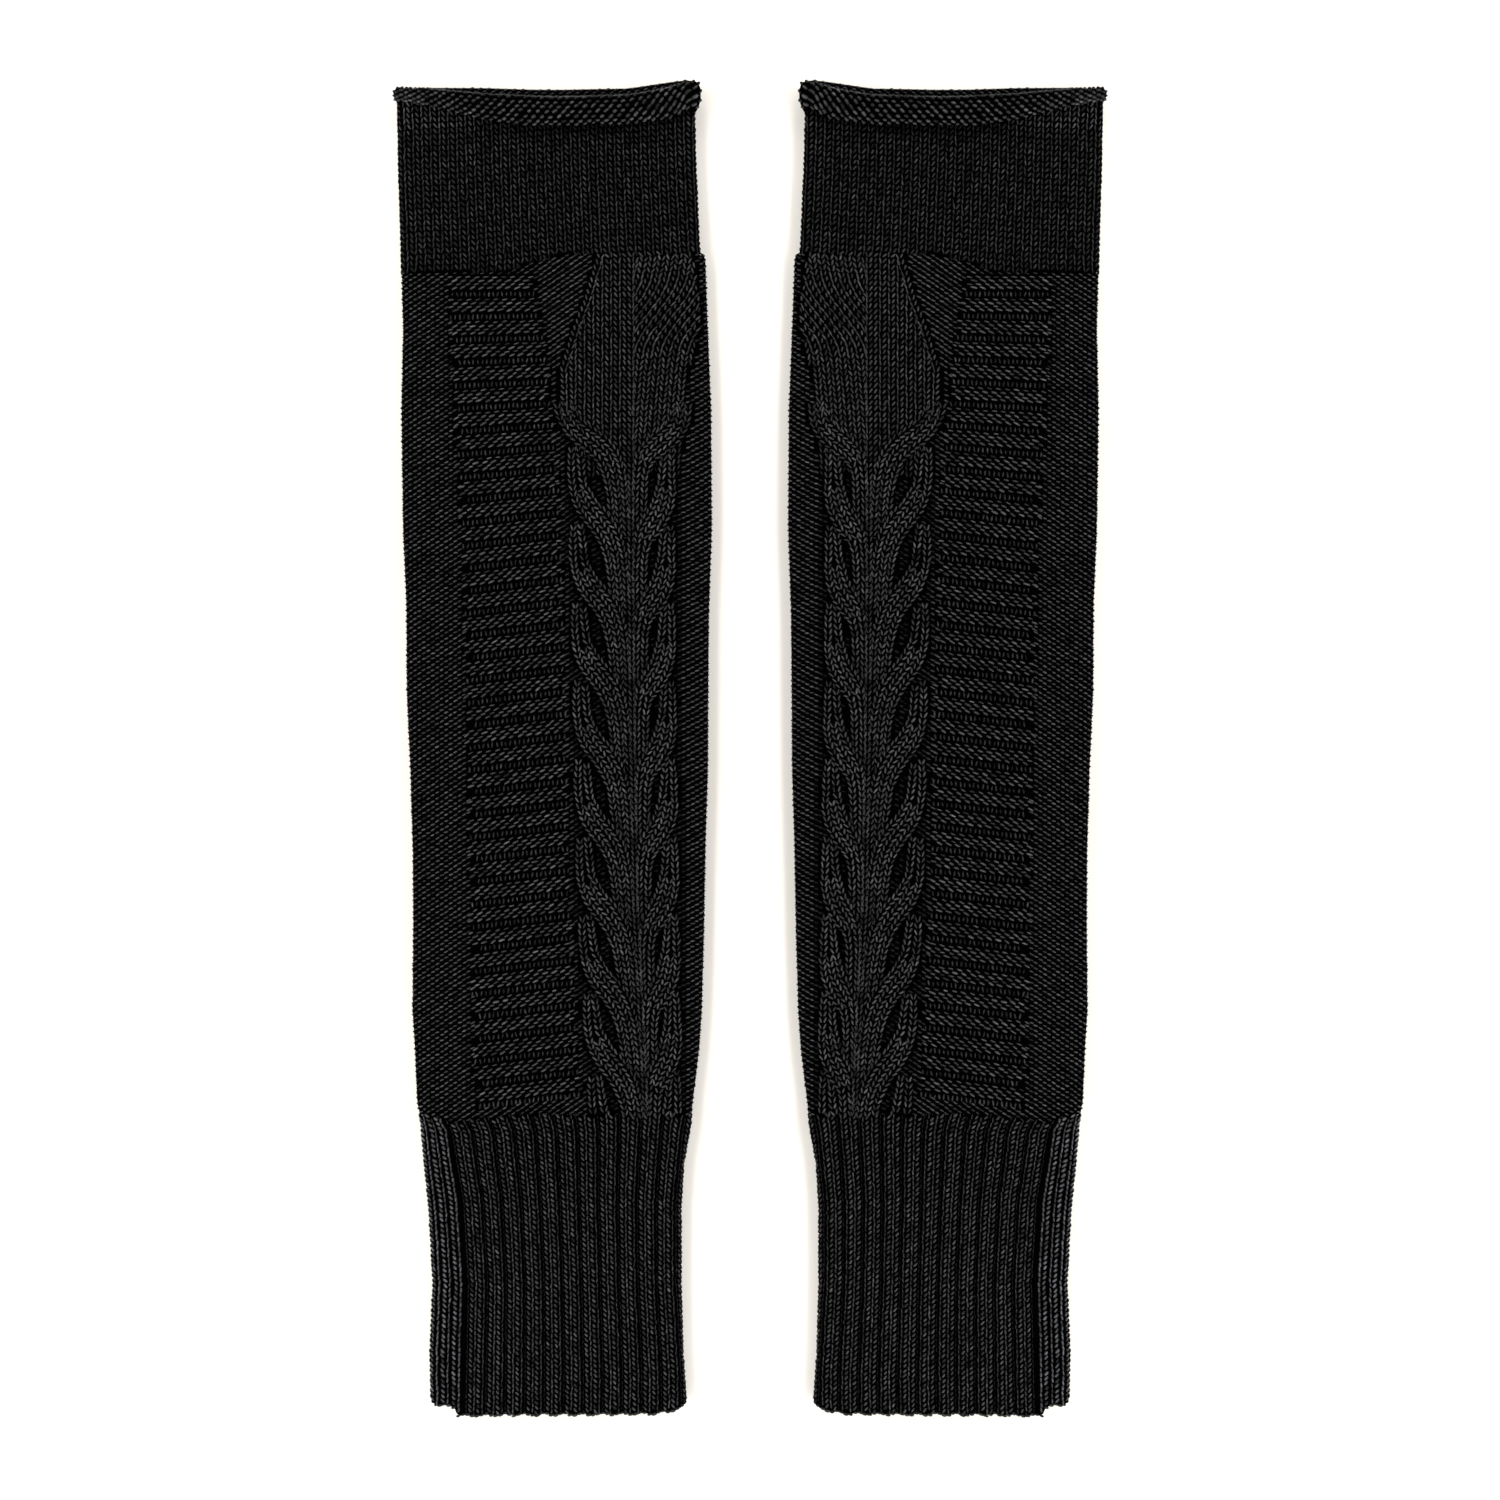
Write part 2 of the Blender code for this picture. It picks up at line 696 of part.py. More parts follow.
def rolled_edge(side, name, collection):
    """The cast-off edge, curled outward into a roll; under the back it is pressed flat."""
    mesh = bmesh.new()
    rings = []
    middle_line = (fold_at("inner", ROLL_LEVEL) + fold_at("outer", ROLL_LEVEL)) / 2
    for across, angle in roll_stations():
        lean = math.radians(angle)
        ring = []
        for out, along, middle in roll_section(across, angle):
            sideways = out * math.cos(lean) * (1 if across > middle_line else -1)
            height = max(middle + out * math.sin(lean), 0.0)
            place = (side * (across + sideways) * MM, along * MM, height * MM)
            ring.append(mesh.verts.new(place))
        rings.append(ring)
    for number, ring in enumerate(rings):
        after = rings[(number + 1) % len(rings)]
        for point in range(len(ring)):
            beside = (point + 1) % len(ring)
            mesh.faces.new((ring[point], ring[beside], after[beside], after[point]))
    finish_object(mesh, name, collection)


def main():
    """Clear the scene and build both warmers."""
    for old in list(bpy.data.objects):
        bpy.data.objects.remove(old, do_unlink=True)
    collection = bpy.data.collections.new(COLLECTION)
    bpy.context.scene.collection.children.link(collection)
    pieces = {"rolled_edge": rolled_edge, "hand_band": hand_band, "body": body, "cuff": cuff}
    for warmer, side in WARMERS.items():
        for piece, build in pieces.items():
            build(side, f"{warmer}_{piece}", collection)


main()
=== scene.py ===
"""The looks of the pair of fingerless arm warmers: shells of cloth with every stitch of their fronts.

A thin closed shell on the same form replaces each CAD node. On it lie the legs of knit columns and the bars
of purl courses, each a small closed spindle, in a few joined meshes. Sizes are in millimetres and MM turns
them into metres. "across" is the distance from the pair's middle line, unrolled past the folds of a
flattened tube, and "along" is Y.
"""

import math

import bpy
import numpy as np
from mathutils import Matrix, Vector


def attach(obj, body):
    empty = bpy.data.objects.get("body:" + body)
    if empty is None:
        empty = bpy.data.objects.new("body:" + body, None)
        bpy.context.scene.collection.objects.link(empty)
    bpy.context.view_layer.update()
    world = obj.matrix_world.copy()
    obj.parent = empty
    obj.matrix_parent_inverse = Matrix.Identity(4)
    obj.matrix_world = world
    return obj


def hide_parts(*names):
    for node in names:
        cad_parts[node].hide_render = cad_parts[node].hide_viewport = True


MM = 0.001

# The flattened tube
WALL = 1.7
HOLLOW = 0.6
SEAM_GAP = 0.3
FLAT = 2 * WALL + HOLLOW
MIDDLE = FLAT / 2
FOLD = FLAT / 2
ARC = math.pi * FOLD / 2
SINK = 0.3

# Raised knitting
STOCKINETTE_RISE = 0.45
LEDGE_RISE = 0.9
LEDGE_RUN = 3.0
LEDGE_START = 39.0
LEDGE_GROWTH = 4.0
WELT_RISE = 1.1
CABLE_RISE = 1.3
CENTRE_RISE = 0.45
RIB_RISE = 1.2
TERRACE_DROP = 0.6
CREASE_WIDTH = 1.5
SIDE_STRIP_FULL = 5.0
CABLE_EDGE = 0.8
PANEL_EDGE = 1.4

WELT_COUNT = 37
WELT_PITCH = 6.25
FIRST_WELT = 130.3
WELT_TILT = 0.12
WELT_TILT_RUN = 70.0
WELT_END = 1.4
WELT_HALF = 0.44
WELT_FLANK = 0.24

CABLE_COUNT = 9
CABLE_REPEAT = 21.8
FIRST_V = 81.9
CENTRE_HALF = 0.36
CENTRE_EDGE = 0.12

FRONT_RIBS = 11
SIDE_RIBS = 2
RIB_SHOULDER = 0.26


def table(names, *rows):
    """A table as one array for each named column; its rows go up in the first column."""
    return dict(zip(names.split(), np.array(rows, float).T))


OUTLINE = table(
    "along inner outer",
    (-187, 17.4, 89), (-168.7, 18.8, 89.3), (-148.5, 19.3, 88.5), (-128.4, 19.3, 89.6),
    (-114.9, 18.5, 91), (-104.9, 16.6, 91.8), (-98.1, 16, 93), (-84.1, 14.3, 93.6),
    (-72.9, 13.5, 94.3), (-50.5, 12.9, 94.1), (-28.1, 12.5, 94.2), (-5.7, 11.8, 94.9),
    (16.7, 11.7, 95.9), (39.1, 11.5, 96), (61.5, 10.7, 96.9), (95.1, 10.9, 97.4),
    (117.5, 11.8, 96.9), (137, 12.5, 97.4), (138.3, 12.9, 97.5), (138.5, 13.9, 97.5),
    (139.9, 14.1, 97.5), (162.3, 15.1, 98.2), (187, 15.7, 98.6),
)
PANELS = table(
    "along welt_outer welt_inner cable_outer cable_inner centre",
    (-102, 77.3, 46.6, 44.8, 18.7, 28.8),
    (-84.1, 77.8, 47.6, 45.9, 18.4, 29.6),
    (-42.1, 78.7, 49.8, 48.4, 18.5, 31.8),
    (13.9, 79.8, 50.9, 49.5, 19.3, 32.7),
    (50.3, 80.6, 51.9, 50.4, 19.6, 33),
    (81.9, 82.3, 53.2, 51.2, 19.4, 33),
    (95.1, 83.2, 54.8, 53, 18.6, 33),
    (106.3, 83.7, 55.7, 53.2, 16.6, 33),
    (118, 84.3, 57.2, 49.6, 13.8, 33),
    (125.9, 84.6, 58.8, 46.4, 13.4, 33),
    (138.5, 84.6, 60.6, 42.8, 15.6, 33),
)
STRAND = table(
    "share outer inner lift outer_radius inner_radius",
    (-1.05, 0.19, 0.16, 0.2, 3.1, 2.5),
    (-0.75, 0.2, 0.16, 0.45, 3.1, 2.4),
    (-0.52, 0.22, 0.165, 0.65, 3.2, 2.4),
    (-0.25, 0.26, 0.18, 0.9, 3.4, 2.5),
    (-0.02, 0.35, 0.25, 1, 3.7, 3.1),
    (0.15, 0.48, 0.45, 1, 3.8, 3.7),
    (0.34, 0.69, 0.62, 1, 3.5, 3.5),
    (0.59, 0.83, 0.71, 1, 3, 3.1),
    (0.83, 0.855, 0.73, 0.9, 2.9, 2.7),
    (1, 0.855, 0.74, 0.65, 2.5, 2.3),
    (1.12, 0.86, 0.73, 0.3, 1.9, 1.8),
)
STRAND_POINTS = 90
STRAND_SMOOTHING = 13
FIRST_STRAND_TOP = 0.75
FIRST_STRAND_SPREAD = {"outer": 0.12, "inner": 0.26}
SEAMS = table(
    "across hem cuff_top band_foot roll_foot",
    (10, -180.5, -102, 138.4, 173.2),
    (17.4, -182.4, -102, 138.4, 173.2),
    (20, -183.8, -102, 138.4, 173.2),
    (26, -184.9, -102, 138.4, 173.2),
    (42, -185.2, -102, 138.4, 173.2),
    (51.7, -185.2, -101.8, 138.3, 173.2),
    (60.6, -185.2, -101.9, 136.2, 173.2),
    (66.7, -185.3, -102, 134.2, 173.2),
    (69, -185.3, -102.3, 133.4, 173.2),
    (81.6, -185.6, -103.9, 133.4, 173.2),
    (82.6, -183.2, -104, 133.4, 173.2),
    (90.3, -182.2, -102, 133.4, 173.2),
    (98, -182.2, -102, 133.4, 173.2),
)
BACK_SEAMS = table(
    "across hem cuff_top band_foot roll_foot",
    (12, -182.2, -102, 138.4, 173.2),
    (54, -182.2, -102, 138.4, 173.2),
    (94, -182.2, -102, 133.4, 173.2),
)
SEAM_LEVELS = {"hem": -182.6, "cuff_top": -102.0, "band_foot": 138.4, "roll_foot": 173.2}
CREASE = table(
    "along crease last_gutter",
    (-187, 79.2, 19.3), (-173.7, 79, 19.3), (-148.5, 78.4, 20.7), (-126, 79.8, 20.7),
    (-106.5, 83, 18.8), (-100, 86.5, 17.6), (-89.7, 91, 16.6), (-66, 94.3, 15.3),
)
ROLL = table(
    "across lip top back_top height",
    (13, 179.4, 186, 187.2, 3.5),
    (17, 178.9, 186.2, 187.4, 4.2),
    (19, 177.3, 185.8, 187.3, 4.3),
    (22, 175.9, 184.6, 186.9, 4.4),
    (34, 174.3, 182.4, 185.1, 4.4),
    (54, 173.9, 181.8, 184.7, 4.2),
    (62, 174, 182.2, 184.8, 4.05),
    (74, 175.6, 182.8, 185.2, 3.8),
    (90, 179.6, 184.2, 185.2, 3.2),
    (98, 181.2, 184.6, 184.8, 2.4),
)
ROLL_MIDDLE = 3.6
ROLL_LEVEL = 180.0
ROLL_SECTION = table(
    "number front_reach back_reach front back",
    (1, 0.55, 0.55, 0.07, 0.08),
    (2, 0.9, 0.9, 0.22, 0.16),
    (3, 1, 1, 0.52, 0.5),
    (4, 0.93, 0.93, 0.8, 0.88),
    (5, 0.72, 0.72, 0.97, 1),
    (6, 0.42, 0.48, 1, 1),
    (7, 0.14, 0.28, 0.82, 1),
    (8, 0, 0.1, 0.52, 1),
    (9, 0.06, -0.06, 0.26, 1),
)

# Stitch sizes
WALE = 2.5
ROW = 1.59
RIB_ROW = 1.4
STRAND_WALE = 0.66
STRAND_ROW = 1.75
COURSE_ROW = 0.795
# How strongly a stitch's depth below its blurred surroundings darkens it, as painted shade in hollows, and
# the width of that blur
DEPTH_SHADE = 1.1
DEPTH_WIDTH = 1.7
NARROW_STRAND = 3.2

# A knit leg or purl bar: how far out along its length, and how thick and how high it is there
SPINDLE = table(
    "place thick lift",
    (-1, 0, -1), (-0.62, 0.85, -0.1), (0, 1, 0.25), (0.62, 0.85, -0.1), (1, 0, -1),
)

# The camera's height in metres, and its lens
CAMERA_HEIGHT = 0.992
LENS = 85.0


def at(source, column, along):
    """A column's value at a level, on straight lines between the table's rows."""
    return np.interp(along, next(iter(source.values())), source[column])


def blend(source, front, back, place, weight):
    """A value between a front column's and a back column's."""
    return at(source, front, place) * (1 - weight) + at(source, back, place) * weight


def panel(name, along):
    """The outer and the inner edge of the welts or of the cable."""
    return at(PANELS, f"{name}_outer", along), at(PANELS, f"{name}_inner", along)


def ramp(distance, width):
    """0 outside an edge and 1 from a width inside it, on a round shoulder."""
    return np.sin(np.clip(distance / width, 0, 1) * np.pi / 2)


def inside(values, low, high):
    """Which values lie between two others."""
    return (values > low) & (values < high)


def smooth(share):
    """0 to 1 without corners."""
    share = np.clip(share, 0, 1)
    return share * share * (3 - 2 * share)


def folds(along):
    """The unrolled places where the front turns into the outer and the inner fold."""
    return at(OUTLINE, "outer", along) - FOLD, at(OUTLINE, "inner", along) + FOLD


def fold_angle(across, outer, inner):
    """How far round a fold an unrolled place lies, in radians, below 0 at the inner fold."""
    return (np.maximum(across - outer, 0) - np.maximum(inner - across, 0)) / FOLD


def on_front(side, across, along, rise):
    """Points over the front layer, round its folds, as rows of x, y, z."""
    outer, inner = folds(along)
    angle = np.clip(fold_angle(across, outer, inner), -np.pi, np.pi)
    x = np.clip(across, inner, outer) + (FOLD + rise) * np.sin(angle)
    z = MIDDLE + (FOLD + rise) * np.cos(angle)
    return np.stack(np.broadcast_arrays(side * x, along, np.maximum(z, 0.0)), -1)


def terrace(across, along):
    """How far the side of the tube, outside the front's crease, lies below the front."""
    crease, outer = at(CREASE, "crease", along), at(OUTLINE, "outer", along)
    width = np.clip((outer - crease) / SIDE_STRIP_FULL, 0, 1)
    drop = TERRACE_DROP * ramp(across - crease, CREASE_WIDTH) * width
    return np.where(along > CREASE["along"][-1], 0.0, drop)


def near_fold(across, along):
    """0 round the folds and 1 on the flat front."""
    outer, inner = folds(along)
    return ramp(np.minimum(outer - across, across - inner) + FOLD, 1.2 * FOLD)


def welt_slope(along):
    """The slope of the welts, steeper lower down."""
    return WELT_TILT * np.clip((FIRST_WELT - along) / WELT_TILT_RUN, 0, 1)


def welt_shift(across, along):
    """How far the welts climb towards the middle of the pair."""
    outer, inner = panel("welt", along)
    return welt_slope(along) * ((outer + inner) / 2 - across)


def welt_relief(across, along):
    """The ladder of welts."""
    level = along - welt_shift(across, along)
    number = np.clip(np.round((FIRST_WELT - level) / WELT_PITCH), 0, WELT_COUNT - 1)
    off = np.abs(level - FIRST_WELT + number * WELT_PITCH) / WELT_PITCH
    ridge = smooth((WELT_HALF - off) / WELT_FLANK)
    outer, inner = panel("welt", along)
    return WELT_RISE * ridge * (ramp(outer - across, WELT_END) * ramp(across - inner, WELT_END))


def strands():
    """Every strand of the cable as a smooth line of (across, along, lift, radius), upward."""
    lines = []
    window = np.hanning(STRAND_SMOOTHING)[1:-1]
    window /= window.sum()
    for crossing in range(CABLE_COUNT + 1):
        shares = np.linspace(STRAND["share"][0], STRAND["share"][-1], STRAND_POINTS)
        if crossing == 0:
            shares = shares[shares <= FIRST_STRAND_TOP]
        along = FIRST_V - crossing * CABLE_REPEAT + shares * CABLE_REPEAT
        lift = np.interp(shares, STRAND["share"], STRAND["lift"])
        if crossing == 0:
            lift = np.minimum(lift, 1.0 - 0.75 * smooth((shares - 0.15) / (FIRST_STRAND_TOP - 0.15)))
        centre = at(PANELS, "centre", along)
        for column in ("outer", "inner"):
            padded = np.linspace(shares[0] - 0.12, shares[-1] + 0.12, len(shares) + len(window) - 1)
            place = np.interp(padded, STRAND["share"], STRAND[column])
            if crossing == 0:
                place = place + FIRST_STRAND_SPREAD[column] * smooth(padded / 0.4)
            place = np.minimum(np.convolve(place, window, "valid"), 0.97)
            radius = np.interp(shares, STRAND["share"], STRAND[f"{column}_radius"])
            across = centre + place * (at(PANELS, f"cable_{column}", along) - centre)
            lines.append(np.stack([across, along, lift, radius], 1))
    return lines


STRANDS = strands()


def strand_relief(across, along, line):
    """Height of one strand: half an ellipse over its line."""
    rise = np.zeros(across.shape)
    widest = line[:, 3].max()
    near = inside(along, line[0, 1] - widest, line[-1, 1] + widest)
    if not near.any():
        return rise
    gap = np.hypot(across[near][:, None] - line[:, 0], along[near][:, None] - line[:, 1]) / line[:, 3]
    nearest = gap.argmin(1)
    rise[near] = CABLE_RISE * line[nearest, 2] * np.sqrt(np.clip(1 - gap.min(1) ** 2, 0, 1))
    return rise


def cable_relief(across, along):
    """Height of the funnel, the middle columns and the strands over the plain cloth."""
    centre = at(PANELS, "centre", along)
    outer, inner = panel("cable", along)
    to_outer, to_inner = (across - centre) / (outer - centre), (centre - across) / (centre - inner)
    place = np.where(across > centre, to_outer, to_inner)
    to_edge = np.minimum(outer - across, across - inner)
    middle = CENTRE_RISE * ramp(CENTRE_HALF - place, CENTRE_EDGE)
    rise = np.where(along > FIRST_V, STOCKINETTE_RISE * ramp(to_edge, PANEL_EDGE), middle)
    near = to_edge > -0.5
    for line in STRANDS:
        rise[near] = np.maximum(rise[near], strand_relief(across[near], along[near], line))
    return rise * ramp(to_edge, CABLE_EDGE)


GRID_STEP = 0.4
GRID_ACROSS = np.arange(4.0, 106.0, GRID_STEP)
GRID_ALONG = np.arange(-112.0, 146.0, GRID_STEP)


def body_grid():
    """The body's relief over the plain cloth on a fine grid of (along, across)."""
    along, across = (grid.ravel() for grid in np.meshgrid(GRID_ALONG, GRID_ACROSS, indexing="ij"))
    rise = np.maximum(welt_relief(across, along), cable_relief(across, along)) - terrace(across, along)
    return rise.reshape(len(GRID_ALONG), len(GRID_ACROSS))


BODY_GRID = body_grid()


def blurred(grid, width):
    """A grid smoothed over a width in millimetres."""
    reach = int(3 * width / GRID_STEP)
    kernel = np.exp(-0.5 * (np.arange(-reach, reach + 1) * GRID_STEP / width) ** 2)
    for axis in (0, 1):
        grid = np.apply_along_axis(np.convolve, axis, grid, kernel / kernel.sum(), "same")
    return grid


# How far each place of the body lies below its blurred surroundings, read to darken the stitches there as
# painted shade
DEPTH_GRID = blurred(BODY_GRID, DEPTH_WIDTH) - BODY_GRID


def read_grid(grid, across, along):
    """A value between a grid's points."""
    i = np.clip((along - GRID_ALONG[0]) / GRID_STEP, 0, len(GRID_ALONG) - 1.001)
    j = np.clip((across - GRID_ACROSS[0]) / GRID_STEP, 0, len(GRID_ACROSS) - 1.001)
    i, j = np.broadcast_arrays(i, j)
    low_i, low_j = i.astype(int), j.astype(int)
    part_i, part_j = i - low_i, j - low_j
    low = grid[low_i, low_j] * (1 - part_j) + grid[low_i, low_j + 1] * part_j
    high = grid[low_i + 1, low_j] * (1 - part_j) + grid[low_i + 1, low_j + 1] * part_j
    return low * (1 - part_i) + high * part_i


def body_relief(across, along):
    """The body's relief, read from its grid."""
    return read_grid(BODY_GRID, across, along)


def band_relief(across, along):
    """The hand band: plain stockinette, lifted at its foot over the welted part."""
    foot = at(SEAMS, "band_foot", across)
    ledge = (LEDGE_RISE - STOCKINETTE_RISE) * (1 - smooth((along - foot) / LEDGE_RUN))
    return STOCKINETTE_RISE + ledge * smooth((across - LEDGE_START) / LEDGE_GROWTH)


def rib_widths(along):
    """The crease, and how wide the ribs outside it and inside it are."""
    crease, last_gutter = at(CREASE, "crease", along), at(CREASE, "last_gutter", along)
    return crease, at(OUTLINE, "outer", along) + ARC - FOLD - crease, crease - last_gutter


def rib_across(turn, along):
    """Distance across of a place in the ribs: whole turns are gutters, 0 is the one in the crease."""
    crease, side, front = rib_widths(along)
    return np.where(turn < 0, crease + side * -turn / SIDE_RIBS, crease - front * turn / FRONT_RIBS)


def rib_turn(across, along):
    """The place in the ribs at a distance across."""
    crease, side, front = rib_widths(along)
    front_turn = (crease - across) / front * FRONT_RIBS
    return np.where(across > crease, -(across - crease) / side * SIDE_RIBS, front_turn)


def cuff_relief(across, along):
    """The ribs between narrow gutters."""
    turn = rib_turn(across, along)
    share = turn - np.floor(turn)
    rib = ramp(np.minimum(share, 1 - share), RIB_SHOULDER)
    return RIB_RISE * rib * near_fold(across, along) - terrace(across, along)


def new_object(name, data):
    """A new object in the scene."""
    made = bpy.data.objects.new(name, data)
    bpy.context.scene.collection.objects.link(made)
    return made


def mesh_object(name, points, faces, material, smooth_shading=True):
    """A mesh piece from rows of points in millimetres and faces of one length."""
    data = bpy.data.meshes.new(name)
    points = np.asarray(points, float).reshape(-1, 3) * MM
    faces = np.asarray(faces, np.int32)
    size = faces.shape[1]
    data.vertices.add(len(points))
    data.vertices.foreach_set("co", points.ravel().astype(np.float32))
    data.loops.add(faces.size)
    data.loops.foreach_set("vertex_index", faces.ravel())
    data.polygons.add(len(faces))
    data.polygons.foreach_set("loop_start", np.arange(0, faces.size, size, dtype=np.int32))
    data.polygons.foreach_set("use_smooth", np.full(len(faces), smooth_shading))
    data.update(calc_edges=True)
    data.validate()
    data.materials.append(material)
    return new_object(name, data)


def ring_mesh(name, side, rings, material, turned=0):
    """A mesh piece from rings of points, joined round each ring, and on from the last ring to the first.

    turned says by how many corners the quads of that last join start later, which sets their diagonals.
    """
    rows, columns = len(rings), len(rings[0])
    i, j = np.meshgrid(np.arange(rows), np.arange(columns), indexing="ij")
    here, ahead, beside = i * columns, (i + 1) % rows * columns, (j + 1) % columns
    faces = np.stack([here + j, here + beside, ahead + beside, ahead + j], -1).reshape(-1, 4)
    faces[-columns:] = np.roll(faces[-columns:], turned, 1)
    return mesh_object(name, rings, faces[:, ::-side], material)


BACK_COLUMNS = 9
HOLLOW_ROWS = 12
HOLLOW_FOLD = 0.3


def tube_shell(name, side, span, relief, columns, rows, material):
    """A closed shell of a flattened tube: up its outside, then down its hollow. span names its two seams."""
    share = np.linspace(0, 1, columns)
    under = np.linspace(0, 1, BACK_COLUMNS)

    def front_across(along):
        outer, inner = folds(along)
        return outer + ARC - (outer - inner + 2 * ARC) * share

    def back_across(along):
        outer, inner = folds(along)
        return inner + (outer - inner) * under

    def ring_levels(seam_name, toward):
        gap = 0.0 if seam_name == "hem" else toward * SEAM_GAP / 2
        level = SEAM_LEVELS[seam_name]
        outer, inner = folds(level)
        across = front_across(level)
        front = at(SEAMS, seam_name, np.clip(across, inner - FOLD, outer + FOLD)) + gap
        back = at(BACK_SEAMS, seam_name, back_across(level)) + gap
        to_outer = np.clip((across - outer) / ARC, 0, 1) / 2
        to_inner = np.clip((inner - across) / ARC, 0, 1) / 2
        front = front + to_outer * (back[-1] - front[0]) + to_inner * (back[0] - front[-1])
        return np.r_[front, back[0], back, back[-1]]

    low, high = ring_levels(span[0], 1), ring_levels(span[1], -1)
    lean = math.sqrt(0.5) * FOLD
    rings = []
    for step in np.linspace(0, 1, rows):
        level = low + (high - low) * step
        above, beneath = level[:columns], level[columns:]
        front = over(relief)(side, front_across(above), above, 0.0)
        outer, inner = folds(beneath)
        x = np.r_[inner[0] - lean, back_across(beneath[1:-1]), outer[-1] + lean]
        z = np.r_[MIDDLE - lean, np.zeros(BACK_COLUMNS), MIDDLE - lean]
        rings.append(np.concatenate([front, np.stack([side * x, beneath, z], 1)]))
    way = np.r_[share, 1.0, 1 - under, 0.0]
    z = np.where(np.arange(len(way)) < columns, WALL + HOLLOW, WALL)
    z[0] = z[columns - 1] = MIDDLE
    inset = WALL + HOLLOW_FOLD * (z != MIDDLE)
    for step in np.linspace(0, 1, HOLLOW_ROWS)[::-1]:
        level = low + (high - low) * step
        outer, inner = at(OUTLINE, "outer", level), at(OUTLINE, "inner", level)
        x = outer - inset - (outer - inner - 2 * inset) * way
        rings.append(np.stack([side * x, level, z], 1))
    return ring_mesh(name, side, rings, material, turned=1)


ROLL_TURNS = (72.0, 54.0, 36.0, 18.0, 0.0, -18.0, -36.0, -54.0, -72.0)
ROLL_FRONT_STATIONS = 84
ROLL_BACK_STATIONS = 24
ROLL_SECTION_POINTS = 25


def roll_section(number, across, weight):
    """The roll's section at a place round it, as (distance out from its middle, along)."""
    reach = blend(ROLL_SECTION, "front_reach", "back_reach", number, weight)
    share = blend(ROLL_SECTION, "front", "back", number, weight)
    lip = at(ROLL, "lip", across)
    top = blend(ROLL, "top", "back_top", across, weight)
    height = at(ROLL, "height", across) * (1 - weight) + ROLL_MIDDLE * weight
    return height * share, lip + (top - lip) * reach


def roll_point(side, across, number, rise):
    """Points over the roll: number runs round its section and across is unrolled past the folds."""
    outer, inner = folds(ROLL_LEVEL)
    angle = fold_angle(across, outer, inner)
    weight = np.abs(angle) / np.pi
    flat = np.clip(across, inner, outer)
    step = 0.05
    out, along = roll_section(number, flat, weight)
    out_next, along_next = roll_section(number + step, flat, weight)
    slope_out, slope_along = out_next - out, along_next - along
    size = np.maximum(np.hypot(slope_out, slope_along), 1e-6)
    out = out - rise * slope_along / size
    along = along + rise * slope_out / size
    x = flat + out * np.sin(angle)
    z = ROLL_MIDDLE + out * np.cos(angle)
    return np.stack(np.broadcast_arrays(side * x, along, np.maximum(z, 0.0)), -1)


def roll_shell(name, side, material):
    """The closed shell of the rolled edge, which goes all round the hand opening."""
    outer, inner = folds(ROLL_LEVEL)
    turns = np.radians(ROLL_TURNS)
    stations = [(a, math.pi / 2) for a in np.linspace(outer, inner, ROLL_FRONT_STATIONS)]
    stations += [(inner, angle) for angle in turns]
    stations += [(a, -math.pi / 2) for a in np.linspace(inner, outer, ROLL_BACK_STATIONS)]
    stations += [(outer, angle) for angle in turns[::-1]]
    numbers = np.linspace(1, len(ROLL_SECTION["number"]), ROLL_SECTION_POINTS)
    foot = SEAM_LEVELS["roll_foot"] + SEAM_GAP / 2
    rings = []
    for across, angle in stations:
        weight = 0.5 - angle / math.pi
        out, along = roll_section(numbers, across, weight)
        out[1:-1] = (out[:-2] + 2 * out[1:-1] + out[2:]) / 4
        along[1:-1] = (along[:-2] + 2 * along[1:-1] + along[2:]) / 4
        top = blend(ROLL, "top", "back_top", across, weight)
        root = along[-1] + 0.8 * (1 - 2 * weight)
        wall = MIDDLE + (STOCKINETTE_RISE - SINK) * (1 - weight)
        lift = (root - foot) / (top - foot) * (ROLL_MIDDLE - MIDDLE)
        out = np.r_[0.3, out - 0.2 * (1 - weight) * smooth((numbers - 2) / 1.5), wall, wall]
        along = np.r_[foot, along, root, foot]
        middle = np.r_[MIDDLE, np.full(len(numbers), ROLL_MIDDLE), MIDDLE + lift, MIDDLE]
        sideways = out * math.cos(angle) * (1 if across > (outer + inner) / 2 else -1)
        z = np.maximum(middle + out * math.sin(angle), 0.0)
        rings.append(np.stack([side * (across + sideways), along, z], 1))
    return ring_mesh(name, side, rings, material)


# Stitches are rows of: across, along, step across, step along, half length, thickness, rise, shade. The shade
# is a brightness that carries painted shade and painted highlight besides random tone
RISE, SHADE = 6, 7

# The two legs of a stitch: their shift outward, lean, half length, thickness, rise and shade
LEGS = {
    "plain": ((0.23, 33, 0.98, 0.33, 0, 0.96), (-0.27, -8, 1.05, 0.26, 0, 0.98)),
    "fan": ((0.22, 26, 0.88, 0.31, 0, 0.85), (-0.26, -3, 1.3, 0.3, 0, 1.0)),
    "strand": ((0.26, 24, 1.06, 0.34, 0, 1.05), (-0.26, -22, 1.06, 0.31, 0, 0.95)),
}
COURSE_SLOPE = 0.1


def wave(across):
    """A slow wave of the courses."""
    return 0.25 * np.sin(across / 9.0) + 0.15 * np.sin(across / 4.1 + 1.0)


def placed(path, share):
    """Points, directions and outward sides at places along a path, counted in its own points."""
    index = np.arange(len(path))
    points, ahead, behind = (
        np.stack([np.interp(share + step, index, path[:, k]) for k in (0, 1)], 1) for step in (0.0, 1.0, -1.0)
    )
    way = ahead - behind
    way /= np.maximum(np.hypot(way[:, 0], way[:, 1])[:, None], 1e-9)
    return points, way, np.stack([way[:, 1], -way[:, 0]], 1)


def evenly(path, pitch, start=0.0):
    """The same every pitch along a path of (across, along)."""
    length = np.r_[0, np.cumsum(np.hypot(*np.diff(path, axis=0).T))]
    places = np.arange(start + pitch / 2, length[-1], pitch)
    return placed(path, np.interp(places, length, np.arange(len(path))))


